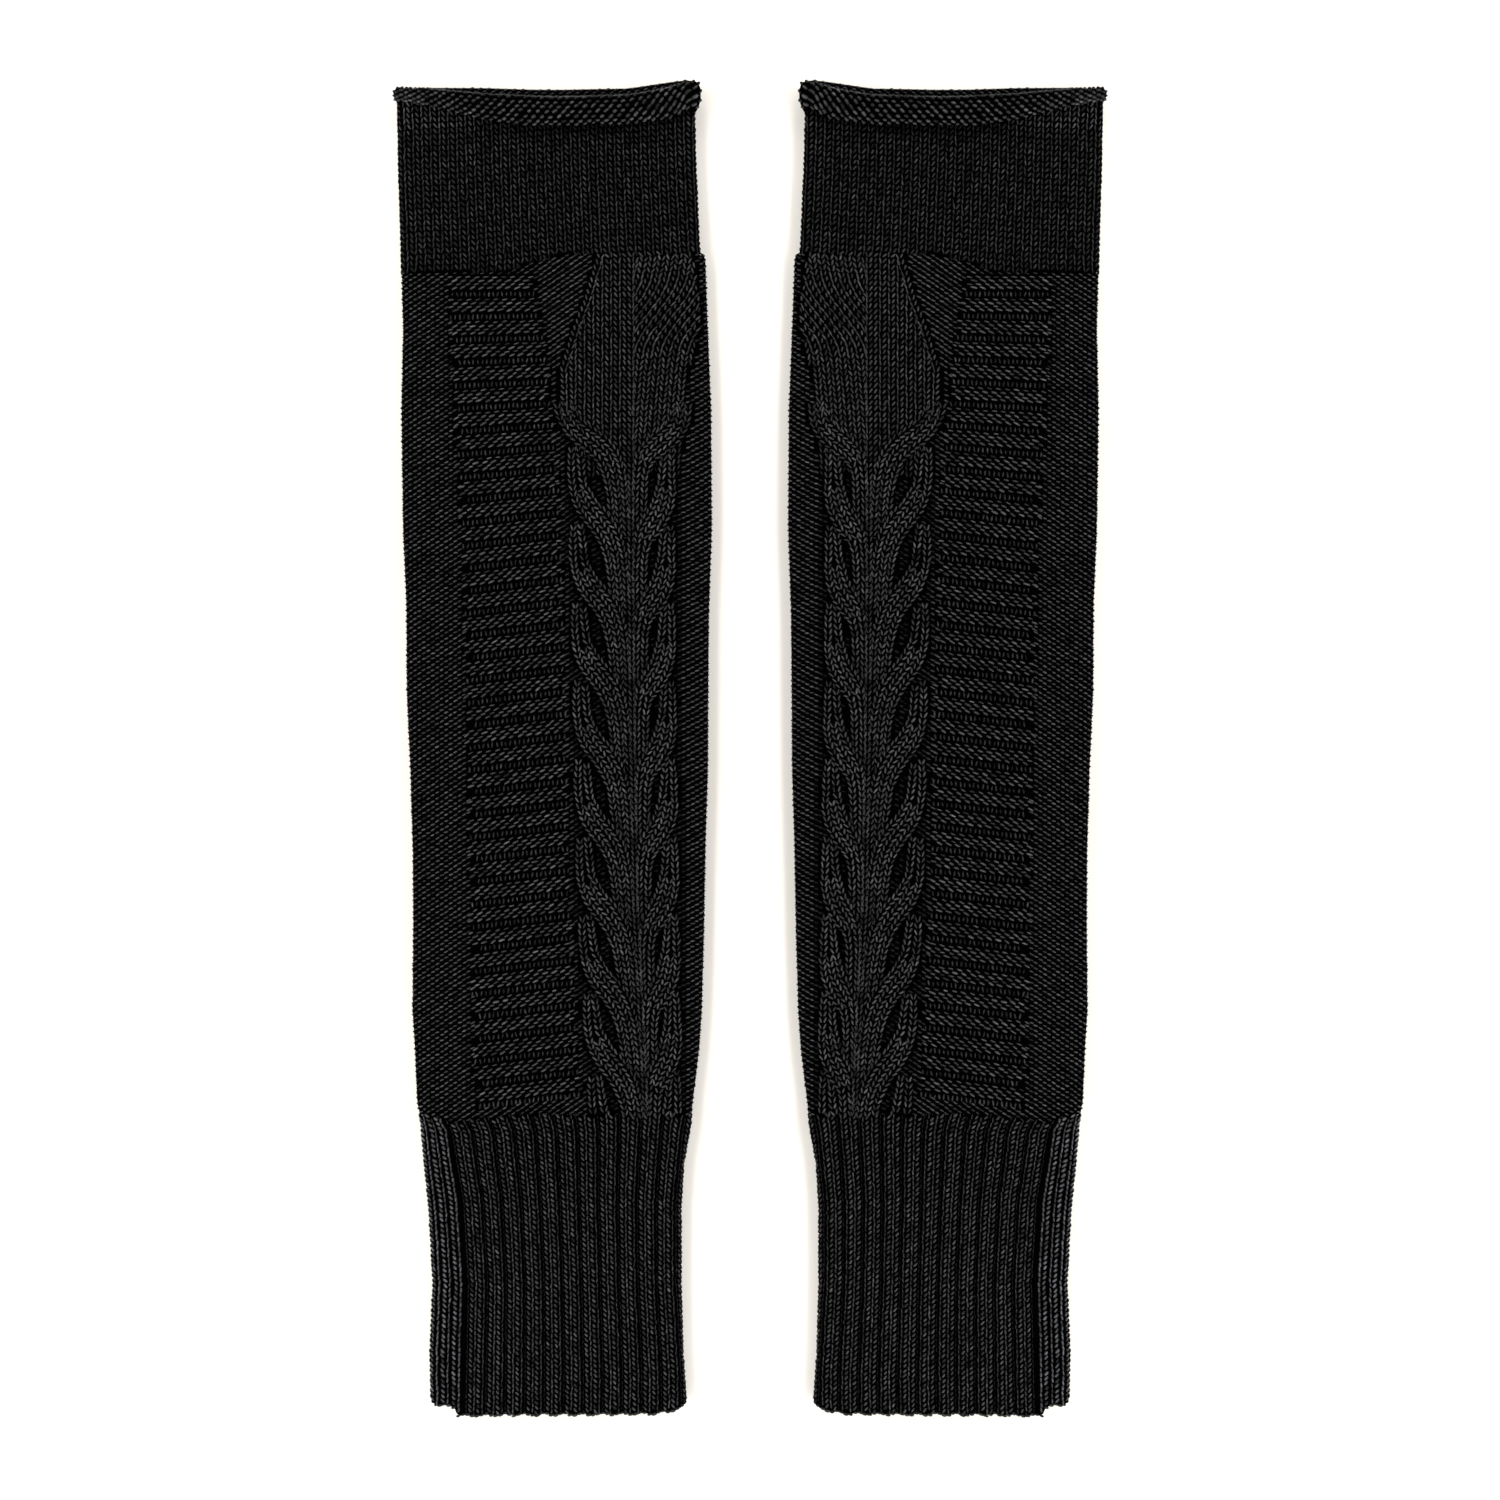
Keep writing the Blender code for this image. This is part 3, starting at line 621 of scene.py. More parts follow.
def on_courses(path, pitch):
    """The same where a path crosses the courses, which climb towards the middle of the pair."""
    number = (path[:, 1] + COURSE_SLOPE * path[:, 0] + wave(path[:, 0])) / pitch
    crossed = np.arange(math.ceil(number[0]), number[-1])
    return placed(path, np.interp(crossed, number, np.arange(len(path))))


def legs(placing, shift, lean, half, thick, rise, shade):
    """One leg at each place, shifted outward and leaning outward by an angle in degrees."""
    points, way, out = placing
    lean = math.radians(lean)
    step = math.cos(lean) * way + math.sin(lean) * out
    sizes = np.broadcast_arrays(points[:, 0], half, thick, rise, shade)[1:]
    return np.column_stack([points + out * np.reshape(shift, (-1, 1)), step, *sizes])


def as_rows(across, *values):
    """Stitches as rows, from an array and the rest of their values, which may be single numbers."""
    return np.column_stack(np.broadcast_arrays(across, *values))


def knit(placing, width, kind="plain"):
    """A column of knit stitches: an outer and an inner leg at each place."""
    return np.concatenate([legs(placing, shift * width, *leg) for shift, *leg in LEGS[kind]])


def bars(across, along, slope, lean, half, thick, shade):
    """Purl bars: each runs up towards the pair's middle at its course's slope plus a lean in degrees."""
    angle = np.arctan(slope) + np.radians(lean)
    return as_rows(across, along, -np.cos(angle), np.sin(angle), half, thick, 0.0, shade)


def shaken(stitches, seed):
    """The stitches, each a little out of line."""
    rng = np.random.default_rng(seed)
    stitches, count = stitches.copy(), len(stitches)
    stitches[:, :2] += rng.normal(0, 0.06, (count, 2))
    turn = np.radians(rng.normal(0, 5.0, count))
    step_a, step_b = stitches[:, 2].copy(), stitches[:, 3].copy()
    stitches[:, 2] = step_a * np.cos(turn) - step_b * np.sin(turn)
    stitches[:, 3] = step_a * np.sin(turn) + step_b * np.cos(turn)
    stitches[:, 4] *= rng.normal(1, 0.07, count)
    stitches[:, 5] *= rng.normal(1, 0.09, count)
    stitches[:, RISE] += rng.normal(0, 0.04, count)
    stitches[:, SHADE] *= np.clip(rng.normal(1, 0.3, count), 0.3, 2.0)
    return stitches


# Painted light over each spindle: a painted highlight along the top of its rings, painted shade on its sides,
# belly and tips
TIP_SHADE = 0.02
RING_SHADE = ((0.05, 0.75, 0.05, 0.02), (0.07, 1.0, 0.07, 0.02), (0.05, 0.75, 0.05, 0.02))
# How much bluer a stitch turns where its shade goes above 1, a painted cool highlight
PAINTED_HIGHLIGHT_BLUE = 0.08
CORNERS = 4
SPINDLE_POINTS = 3 * CORNERS + 2
BELLY = 0.7
LEAST_HEIGHT = 0.02


def unit(vectors):
    """Vectors of length 1."""
    return vectors / np.maximum(np.linalg.norm(vectors, axis=1)[:, None], 1e-9)


def spindle_mesh(name, side, groups, material):
    """One joined mesh of closed spindles. groups are pairs of stitches and the surface that they lie on."""
    points, faces, shades, first = [], [], [], 0
    ring = np.arange(CORNERS)
    beside = (ring + 1) % CORNERS
    one = [np.stack([0 * ring, 1 + ring, 1 + beside], 1)]
    for band in (1, 1 + CORNERS):
        above = band + CORNERS
        one.append(np.stack([band + ring, above + ring, above + beside], 1))
        one.append(np.stack([band + ring, above + beside, band + beside], 1))
    one.append(np.stack([0 * ring + SPINDLE_POINTS - 1, above + beside, above + ring], 1))
    one = np.concatenate(one)
    vertex_shade = np.r_[TIP_SHADE, np.ravel(RING_SHADE), TIP_SHADE]
    for stitches, surface in groups:
        a, b, step_a, step_b, half, thick, rise, shade = stitches.T
        place = SPINDLE["place"]
        across = a[:, None] + step_a[:, None] * half[:, None] * place
        along = b[:, None] + step_b[:, None] * half[:, None] * place
        lift = rise[:, None] + thick[:, None] * SPINDLE["lift"]
        axis = surface(side, across, along, lift)
        tangent = unit(axis[:, 3] - axis[:, 1])
        flank = surface(side, a + step_b * thick, b - step_a * thick, rise)
        flank = flank - surface(side, a - step_b * thick, b + step_a * thick, rise)
        flank = unit(flank - (flank * tangent).sum(1)[:, None] * tangent)
        up = np.cross(flank, tangent)
        facing = surface(side, a, b, rise + 1.0) - surface(side, a, b, rise)
        up *= np.sign((up * facing).sum(1))[:, None]
        hand = np.sign((np.cross(flank, up) * tangent).sum(1))
        size = thick[:, None] * SPINDLE["thick"]
        corners = [axis[:, 0][:, None]]
        for k in (1, 2, 3):
            middle, wide, high = axis[:, k], size[:, k][:, None] * flank, size[:, k][:, None] * up
            corners.append(np.stack([middle + wide, middle + high, middle - wide, middle - BELLY * high], 1))
        corners.append(axis[:, 4][:, None])
        corners = np.concatenate(corners, 1)
        clear = (corners[:, :, 2].min(1) > LEAST_HEIGHT) & (np.abs(hand) > 0.5)
        corners, hand, shade = corners[clear], hand[clear], shade[clear]
        made = one[None] + (first + SPINDLE_POINTS * np.arange(len(corners)))[:, None, None]
        turned = hand > 0
        made[turned] = made[turned][:, :, ::-1]
        points.append(corners.reshape(-1, 3))
        faces.append(made.reshape(-1, 3))
        shades.append((shade[:, None] * vertex_shade).ravel())
        first += SPINDLE_POINTS * len(corners)
    piece = mesh_object(name, np.concatenate(points), np.concatenate(faces), material)
    shade = np.concatenate(shades)
    # The shade attribute: painted shade and painted highlight, bluer where painted brighter
    colours = np.stack([shade, shade, shade * (1 + PAINTED_HIGHLIGHT_BLUE * np.maximum(shade - 1, 0)), np.ones_like(shade)], 1)
    layer = piece.data.attributes.new("shade", "FLOAT_COLOR", "POINT")
    layer.data.foreach_set("color", colours.ravel().astype(np.float32))
    return piece


def over(relief):
    """The surface of a stretch of cloth for its stitches."""

    def surface(side, across, along, rise):
        flat = (relief(across, along) - SINK) * near_fold(across, along)
        return on_front(side, across, along, flat + rise)

    return surface


def wall(side, across, along, rise):
    """The front of the rolled edge below its lip, which climbs towards the roll."""
    foot = SEAM_LEVELS["roll_foot"]
    climb = (along - foot) / (at(ROLL, "top", across) - foot) * (ROLL_MIDDLE - MIDDLE)
    flat = (STOCKINETTE_RISE - SINK + climb) * near_fold(across, along)
    return on_front(side, across, along, flat + rise)


FRONT_WALES = 35
PATH_STEP = 0.5
BODY_TOP = 142.0
FAN = table(
    "along lean",
    (76, 3), (104, 5), (110, 8), (113, 20), (116, 33), (120, 38), (126, 35), (129, 24), (133, 12),
    (138.5, 4),
)
FAN_LEAST = 12.0
FUNNEL_FOOT = FIRST_V - 5.0
SPINE_WALE = 0.9 * WALE


def wale_across(number, along):
    """The place of a plain column, counted from the outer fold."""
    outer, inner = folds(along)
    wide = outer - inner + 2 * ARC
    return outer + ARC - wide * number / FRONT_WALES


def column_path(number, low, high):
    """A plain column: with the tube in the band, upright or fanned out below it."""
    line, foot = np.arange(high, low, -PATH_STEP), SEAM_LEVELS["band_foot"]
    slope = np.tan(np.radians(at(FAN, "lean", line)))
    drift = np.cumsum(np.where(line < FAN["along"][-1], slope * PATH_STEP, 0.0))
    fanned = smooth((PANELS["centre"][-1] + 1.0 - wale_across(number, foot)) / 2.0)
    across = wale_across(number, np.maximum(line, foot)) + fanned * drift
    return np.stack([across, line], 1)[::-1], fanned


def plain_knit(low, high):
    """Every plain column of the front between two levels."""
    numbers = np.arange(-1.0, FRONT_WALES + 1.5)
    return np.concatenate([knit(on_courses(column_path(k, low, high)[0], ROW), WALE) for k in numbers])


def between(stitches, low, high):
    """The stitches whose middles lie between two levels."""
    return stitches[inside(stitches[:, 1], low, high)]


def body_part(stitches):
    """The stitches inside the body's own ends."""
    across = stitches[:, 0]
    return between(stitches, at(SEAMS, "cuff_top", across), at(SEAMS, "band_foot", across))


LIP_SHADOW = 0.25
LIP_SHADOW_INSIDE = 0.55
LIP_SHADOW_FROM = 82.0
LIP_SHADOW_GROWTH = 14.0
LIP_SHADOW_REACH = 4.0


def under_lip(stitches):
    """Stitches darkened in the shadow close below the roll's lip."""
    to_lip = at(ROLL, "lip", stitches[:, 0]) - stitches[:, 1]
    deep = LIP_SHADOW + LIP_SHADOW_INSIDE * smooth((LIP_SHADOW_FROM - stitches[:, 0]) / LIP_SHADOW_GROWTH)
    stitches[:, SHADE] *= 1 - deep * (1 - smooth(to_lip / LIP_SHADOW_REACH))
    return stitches


FOOT_SHADOW = 0.6
FOOT_SHADOW_FROM = 41.0
FOOT_SHADOW_GROWTH = 5.0
FOOT_SHADOW_REACH = 1.8


def band_stitches():
    """The hand band."""
    made = plain_knit(130.0, 177.0)
    made = between(made, at(SEAMS, "band_foot", made[:, 0]), at(SEAMS, "roll_foot", made[:, 0]))
    rise = made[:, 1] - at(SEAMS, "band_foot", made[:, 0])
    deep = FOOT_SHADOW * smooth((made[:, 0] - FOOT_SHADOW_FROM) / FOOT_SHADOW_GROWTH)
    made[:, SHADE] *= 1 - deep * (1 - smooth(rise / FOOT_SHADOW_REACH))
    return under_lip(made)


RIDGE_ROWS = table(
    "offset lean half thick shade",
    (-1.42, 21, 1.15, 0.35, 1.05),
    (-0.48, 14, 0.95, 0.29, 0.95),
    (0.46, 19, 1.15, 0.34, 1.1),
    (1.5, 14, 0.95, 0.29, 0.95),
)
GUTTER_LEAN = math.radians(7)


def welt_stitches():
    """Two raised purl courses on each welt, and a sunk row of upright legs below it."""
    made = []
    for number in range(WELT_COUNT):
        crest = FIRST_WELT - number * WELT_PITCH
        outer, inner = panel("welt", crest) + np.array([-0.5, 0.5])
        drift = 0.7 * math.sin(number * 1.9)
        for k, (offset, lean, half, thick, shade) in enumerate(zip(*RIDGE_ROWS.values())):
            across = np.arange(inner, outer, WALE) + drift + (k % 2) * WALE / 2
            across = across[inside(across, inner, outer)]
            along = crest + offset + welt_shift(across, crest)
            made.append(bars(across, along, welt_slope(crest), lean, half, thick, shade))
        across = np.arange(inner + 0.5, outer - 1.0 + drift, WALE / 2) + drift / 2
        low = crest - WELT_PITCH / 2
        for places, lean in ((across[::2], -GUTTER_LEAN), (across[1::2], GUTTER_LEAN)):
            along = low + welt_shift(places, low)
            made.append(as_rows(places, along, math.sin(lean), math.cos(lean), 1.0, 0.31, 0.0, 0.9))
    return body_part(np.concatenate(made))


def panel_column(name, shift, low):
    """Places up a column that follows a line of the panels from a level to the body's top."""
    line = np.arange(low, BODY_TOP, PATH_STEP)
    return on_courses(np.stack([at(PANELS, name, line) + shift, line], 1), ROW)


def funnel_stitches():
    """Upright columns outside the middle line of the funnel and a fan of leaning ones inside it."""
    centre = PANELS["centre"][-1]
    made = []
    for number in range(14, FRONT_WALES + 11):
        path, fanned = column_path(number, FUNNEL_FOOT, BODY_TOP)
        placing = on_courses(path, ROW)
        column = knit(placing, WALE, "strand" if fanned > 0.5 else "plain")
        if fanned > 0.5:
            leaning = np.tile(at(FAN, "lean", placing[0][:, 1]), 2) > FAN_LEAST
            column = np.where(leaning[:, None], knit(placing, WALE, "fan"), column)
        outer, inner = panel("cable", column[:, 1])
        low, high = (inner + 0.4, centre - 0.3) if fanned > 0.5 else (centre + 0.8, outer - 2.2)
        made.append(column[inside(column[:, 0], low, high)])
    made.append(knit(panel_column("cable_outer", -1.3, 91.0), WALE))
    made = np.concatenate(made)
    swept = np.max([strand_relief(made[:, 0], made[:, 1], strand) for strand in STRANDS[:4]], axis=0)
    made = made[~((made[:, 1] < FIRST_V + 0.7 * CABLE_REPEAT) & (swept > 0.5))]
    spine = panel_column("centre", 0.15, -103.0)
    below = np.tile(spine[0][:, 1] < FUNNEL_FOOT, 2)[:, None]
    return np.concatenate([made, np.where(below, knit(spine, SPINE_WALE, "strand"), knit(spine, SPINE_WALE))])


def cable_stitches():
    """Three knit columns on every strand, two where it is narrow, where no other strand covers them."""
    made = []
    for line in STRANDS:
        middle, _, out = evenly(line[:, :2], 0.4)
        lift, radius = (np.interp(middle[:, 1], line[:, 1], line[:, k]) for k in (2, 3))
        narrow = smooth((NARROW_STRAND - radius) / 0.3)
        for number in (-1, 0, 1):
            path = middle + out * (number * STRAND_WALE * radius * (1 - 0.25 * narrow))[:, None]
            placing = evenly(path, STRAND_ROW, start=0.37 * number + 0.5)
            width = np.interp(placing[0][:, 1], path[:, 1], radius * (1 + 0.35 * narrow)) * STRAND_WALE
            column = knit(placing, width, "strand")
            raised = np.interp(column[:, 1], path[:, 1], lift)
            own = np.maximum(strand_relief(column[:, 0], column[:, 1], line), 0.6 * raised * CABLE_RISE)
            column[:, RISE] = own - SINK
            # Painted highlight: lighter where the strand rides higher
            column[:, SHADE] *= 0.7 + 0.4 * raised
            hidden = own + 0.2 < body_relief(column[:, 0], column[:, 1])
            hidden |= (number == 0) & (np.interp(column[:, 1], path[:, 1], narrow) > 0.5)
            made.append(column[~hidden])
    return np.concatenate(made)


def cell(stitches, di=0, dj=0):
    """Where the stitches' middles lie in the body's grid, moved by some cells."""
    i = np.round((stitches[:, 1] - GRID_ALONG[0]) / GRID_STEP).astype(int) + di
    j = np.round((stitches[:, 0] - GRID_ACROSS[0]) / GRID_STEP).astype(int) + dj
    return np.clip(i, 0, len(GRID_ALONG) - 1), np.clip(j, 0, len(GRID_ACROSS) - 1)


def covered(stitches, reach):
    """The cells of the body's grid within a reach of any stitch's middle."""
    cells = np.zeros(BODY_GRID.shape, bool)
    most = int(reach / GRID_STEP)
    for di in range(-most, most + 1):
        for dj in range(-most, most + 1):
            if math.hypot(di, dj) * GRID_STEP <= reach:
                cells[cell(stitches, di, dj)] = True
    return cells


PURL = table(
    "across rise lean half",
    (8, -0.6, 14, 0.84), (18, 0.4, 16, 0.84), (30, 3, 20, 0.9), (46, 1.4, 27, 0.95),
    (60, 0, 28, 0.95), (76, -0.6, 24, 0.9), (86, -0.4, 22, 0.8), (100, 0, 22, 0.78),
)
COURSES_LENGTH = 250.0
LADDER_EDGE = 0.6
LADDER_TOP = FIRST_WELT + 2.4
LADDER_FOOT = FIRST_WELT - (WELT_COUNT - 1) * WELT_PITCH - 3.8
FEATURE_REACH = 1.25


def purl_stitches(features):
    """The plain purl ground, in staggered level courses, wherever no other stitch lies."""
    made = []
    for number in range(int(COURSES_LENGTH / COURSE_ROW)):
        level = BODY_TOP - number * COURSE_ROW
        across = np.arange(6.0, 103.0, WALE) + (number % 2) * WALE / 2
        along = level + at(PURL, "rise", across) + wave(across)
        made.append(bars(across, along, 0.0, at(PURL, "lean", across), at(PURL, "half", across), 0.29, 1.15))
    made = body_part(np.concatenate(made))
    across, along = made[:, 0], made[:, 1]
    ragged = 0.4 * np.sin(along * 2.3)
    outer, inner = panel("welt", along)
    ladder = inside(across, inner + LADDER_EDGE + ragged, outer - LADDER_EDGE + ragged)
    ladder &= inside(along - welt_shift(across, along), LADDER_FOOT, LADDER_TOP)
    return made[~ladder & ~covered(features, FEATURE_REACH)[cell(made)]]


# Painted shadows of the cable: each a dark blob by its offset from the middle, level below the crossing,
# width, length, and how much it darkens
NOTCH_SHADOWS = table(
    "off below wide long depth",
    (0.2, -1.6, 1.1, 2, 0.7),
    (10.5, 1.6, 0.9, 2.2, 0.75),
)


def shadowed(stitches):
    """The stitches darkened with painted shadow in the notch of every crossing of the cable and at the head
    of its outer slit.
    """
    across, along = stitches[:, 0] - at(PANELS, "centre", stitches[:, 1]), stitches[:, 1]
    for crossing in range(CABLE_COUNT):
        for off, below, wide, long, depth in zip(*NOTCH_SHADOWS.values()):
            level = FIRST_V - crossing * CABLE_REPEAT - below
            near = np.exp(-((across - off) / wide) ** 2 - ((along - level) / long) ** 2)
            stitches[:, SHADE] *= 1 - depth * near


# How much the depth darkens the stitches of the welts, funnel, strands and ground as painted shade, and their
# shade
BODY_SHADES = ((0.5, 1.1), (1.0, 0.92), (1.0, 0.97), (1.0, 1.0))
SLIT_SHADE = 0.3


def body_groups():
    """The body's stitches as the welt half's and the cable half's groups."""
    welts, funnel, strand = welt_stitches(), body_part(funnel_stitches()), body_part(cable_stitches())
    purl = purl_stitches(np.concatenate([funnel, strand]))
    for stitches, (share, gain) in zip((welts, funnel, strand, purl), BODY_SHADES):
        # Painted shade in hollows, then the painted shadows in the cable's notches
        depth = read_grid(DEPTH_GRID, stitches[:, 0], stitches[:, 1])
        stitches[:, SHADE] *= gain * np.clip(1 - share * DEPTH_SHADE * depth, 0.1, 1.25)
        shadowed(stitches)
    # Painted shade: the purl ground in the cable panel's slits is darkened
    outer, inner = panel("cable", purl[:, 1])
    purl[inside(purl[:, 0], inner - 0.5, outer + 0.5), SHADE] *= SLIT_SHADE
    outer_half = purl[:, 0] > at(PANELS, "welt_inner", purl[:, 1]) - 1.0
    body = over(body_relief)
    cable_half = [(funnel, body), (strand, on_front), (purl[~outer_half], body)]
    return [(purl[outer_half], body), (welts, body)], cable_half


# The legs of each rib; the leg in its gutter is dimmed as painted shade
RIB_LEGS = table(
    "share lean half thick rise shade",
    (0, -3, 0.8, 0.22, 0.3, 0.25),
    (0.19, 38, 0.84, 0.36, 0, 1.05),
    (0.4, -4, 0.88, 0.26, 0.02, 1),
    (0.61, 36, 0.84, 0.36, 0, 1.1),
    (0.82, -3, 0.88, 0.24, 0, 0.7),
)
# The legs of the tube's side outside the crease, brightened as painted light where that side faces a lamp
SIDE_LEGS = table(
    "turn lean half thick rise shade",
    (-2, -6, 0.9, 0.34, 0, 1.7),
    (-1.75, 36, 0.88, 0.42, 0, 2),
    (-1.46, -6, 0.92, 0.35, 0, 2),
    (-1.18, 36, 0.88, 0.42, 0.5, 2.1),
    (-0.92, -6, 0.92, 0.34, 0.6, 1.7),
    (-0.64, 36, 0.88, 0.42, 0, 2),
    (-0.38, -6, 0.92, 0.34, 0, 1.5),
)
HEM_LEVEL = -184.0
CAST_OFF_PITCH = 1.3
SCALLOP = 0.5


def cuff_stitches():
    """The ribs' columns of legs, and the cast-off bars along the hem."""
    line = np.arange(-189.0, -98.0, PATH_STEP)
    rib_legs = list(zip(*RIB_LEGS.values()))
    columns = [(rib + share, *leg) for rib in range(FRONT_RIBS + 1) for share, *leg in rib_legs]
    columns += zip(*SIDE_LEGS.values())
    made = []
    for number, (turn, *leg) in enumerate(columns):
        path = np.stack([rib_across(turn, line), line], 1)
        made.append(legs(evenly(path, RIB_ROW, 1.0 + 0.5 * math.sin(number * 2.3)), 0.0, *leg))
    made = np.concatenate(made)
    made = between(made, at(SEAMS, "hem", made[:, 0]) + 0.4, at(SEAMS, "cuff_top", made[:, 0]) + 0.1)
    outer, inner = folds(HEM_LEVEL)
    across = np.arange(15.0, 92.0, CAST_OFF_PITCH)
    across = across[inside(across, inner - 1.5, outer + 1.5)]
    edge = at(SEAMS, "hem", across) + 0.3 - SCALLOP * np.sin(math.pi * rib_turn(across, HEM_LEVEL)) ** 2
    return np.concatenate([made, bars(across, edge, 0.0, 16.0, 0.85, 0.38, 0.8)])


ROLL_ROWS = (2.9, 3.4, 4.0, 4.8, 5.4, 6.0, 6.55, 7.15, 7.7)
# Painted shade round the roll: rows over its top darker, rows down its front towards the lip lighter
ROLL_SHADES = (0.45, 0.55, 0.7, 0.85, 0.95, 1.0, 1.1, 1.3, 1.3)
ROLL_EDGE = 3.6
ROLL_WALE = 0.95 * WALE
KNOB = 24.0


def roll_stitches():
    """Purl bars round the roll, as rows over (across, number round its section)."""
    made = []
    outer, inner = folds(ROLL_LEVEL)
    for k, (number, shade) in enumerate(zip(ROLL_ROWS, ROLL_SHADES)):
        across = np.arange(inner - ARC * 0.8, outer + ARC * 0.8, ROLL_WALE) + (k % 2) * ROLL_WALE / 2
        steep = smooth((KNOB + 14.0 - across) / 12.0)
        # A painted highlight on the stitches of the roll's knob
        knob_highlight = np.exp(-((across - KNOB) / 3.0) ** 2) * (number < 5.0)
        way = (-0.93 + 0.12 * steep, -0.25 - 0.14 * steep)
        made.append(as_rows(across, number, *way, 0.8, 0.47, -0.05, shade * (1 + 1.6 * knob_highlight)))
    # A row of bars along the roll's top edge, brightened as a painted highlight
    made.append(as_rows(np.arange(21.0, 92.0, 1.5), ROLL_EDGE, -1.0, 0.0, 1.1, 0.25, 0.05, 1.6))
    return np.concatenate(made)


def wall_stitches():
    """The stockinette of the rolled edge below its lip."""
    made = plain_knit(168.0, 186.0)
    made = between(made, at(SEAMS, "roll_foot", made[:, 0]), at(ROLL, "lip", made[:, 0]) + 0.9)
    return under_lip(made)


def back_lip_stitches():
    """The far side of the opening, which shows above the front's roll."""
    made = []
    for k in range(3):
        across = np.arange(16.0, 97.0, ROLL_WALE) + (k % 2) * ROLL_WALE / 2
        along = at(ROLL, "back_top", across) - 0.7 - 0.8 * k
        keep = along > at(ROLL, "top", across) + 0.2
        # Dimmed to 0.7 as painted shade
        made.append(as_rows(across[keep], along[keep], -0.93, 0.36, 0.75, 0.3, 3.5 - FLAT, 0.7))
    return np.concatenate(made)


def node(tree, kind, **settings):
    """A new shader node with its settings and input values."""
    made = tree.nodes.new(kind)
    for key, value in settings.items():
        if key in made.inputs:
            made.inputs[key].default_value = value
        else:
            setattr(made, key, value)
    return made


def feed(tree, socket, value):
    """Links an output to a socket, or sets the socket to a constant."""
    if isinstance(value, bpy.types.NodeSocket):
        tree.links.new(value, socket)
    else:
        socket.default_value = value


def mixed(tree, factor, first, second, **settings):
    """The colour that mixes two others, each a constant or an output."""
    mix = node(tree, "ShaderNodeMix", data_type="RGBA", **settings)
    colours = [socket for socket in mix.inputs if socket.type == "RGBA"]
    for socket, value in zip((mix.inputs[0], *colours), (factor, first, second)):
        feed(tree, socket, value)
    return next(output for output in mix.outputs if output.type == "RGBA")


def new_material(name, roughness, specular):
    """A new material, its node tree and its shader."""
    material = bpy.data.materials.new(name)
    material.use_nodes = True
    shader = material.node_tree.nodes["Principled BSDF"]
    shader.inputs["Roughness"].default_value = roughness
    shader.inputs["Specular IOR Level"].default_value = specular
    return material, material.node_tree, shader


def finish(tree, shader, colour, height, strength, distance):
    """Gives a shader its colour and a bump."""
    bump = node(tree, "ShaderNodeBump", Strength=strength, Distance=distance)
    tree.links.new(height, bump.inputs["Height"])
    tree.links.new(bump.outputs["Normal"], shader.inputs["Normal"])
    tree.links.new(colour, shader.inputs["Base Color"])


def toned(value, tint):
    """A grey of a value, with a tint."""
    return (*(value * c for c in tint), 1)


def wool(name, dark, light, tint):
    """Charcoal wool yarn: mottled from fibre to fibre and multiplied by each stitch's painted shade and
    highlight, with a fine bump and a soft sheen.
    """
    material, tree, shader = new_material(name, 0.85, 0.03)
    place = node(tree, "ShaderNodeTexCoord").outputs["Object"]
    mottle = node(tree, "ShaderNodeTexNoise", Scale=520.0, Detail=4.0, Roughness=0.6)
    fibre = node(tree, "ShaderNodeTexNoise", Scale=4200.0, Detail=3.0, Roughness=0.7)
    for texture in (mottle, fibre):
        tree.links.new(place, texture.inputs["Vector"])
    ramp_node = node(tree, "ShaderNodeValToRGB")
    stops = ramp_node.color_ramp.elements
    stops[0].position, stops[1].position = 0.34, 0.68
    stops[0].color, stops[1].color = toned(dark, tint), toned(light, tint)
    tree.links.new(mottle.outputs["Fac"], ramp_node.inputs["Fac"])
    # The shade attribute: painted shade and painted highlight of each stitch
    shade = node(tree, "ShaderNodeAttribute", attribute_name="shade").outputs["Color"]
    yarn_with_painted_shade = mixed(tree, 1.0, ramp_node.outputs["Color"], shade, blend_type="MULTIPLY")
    finish(tree, shader, yarn_with_painted_shade, fibre.outputs["Fac"], 0.5, 0.00012)
    shader.inputs["Sheen Weight"].default_value = 0.01
    shader.inputs["Sheen Roughness"].default_value = 0.5
    return material


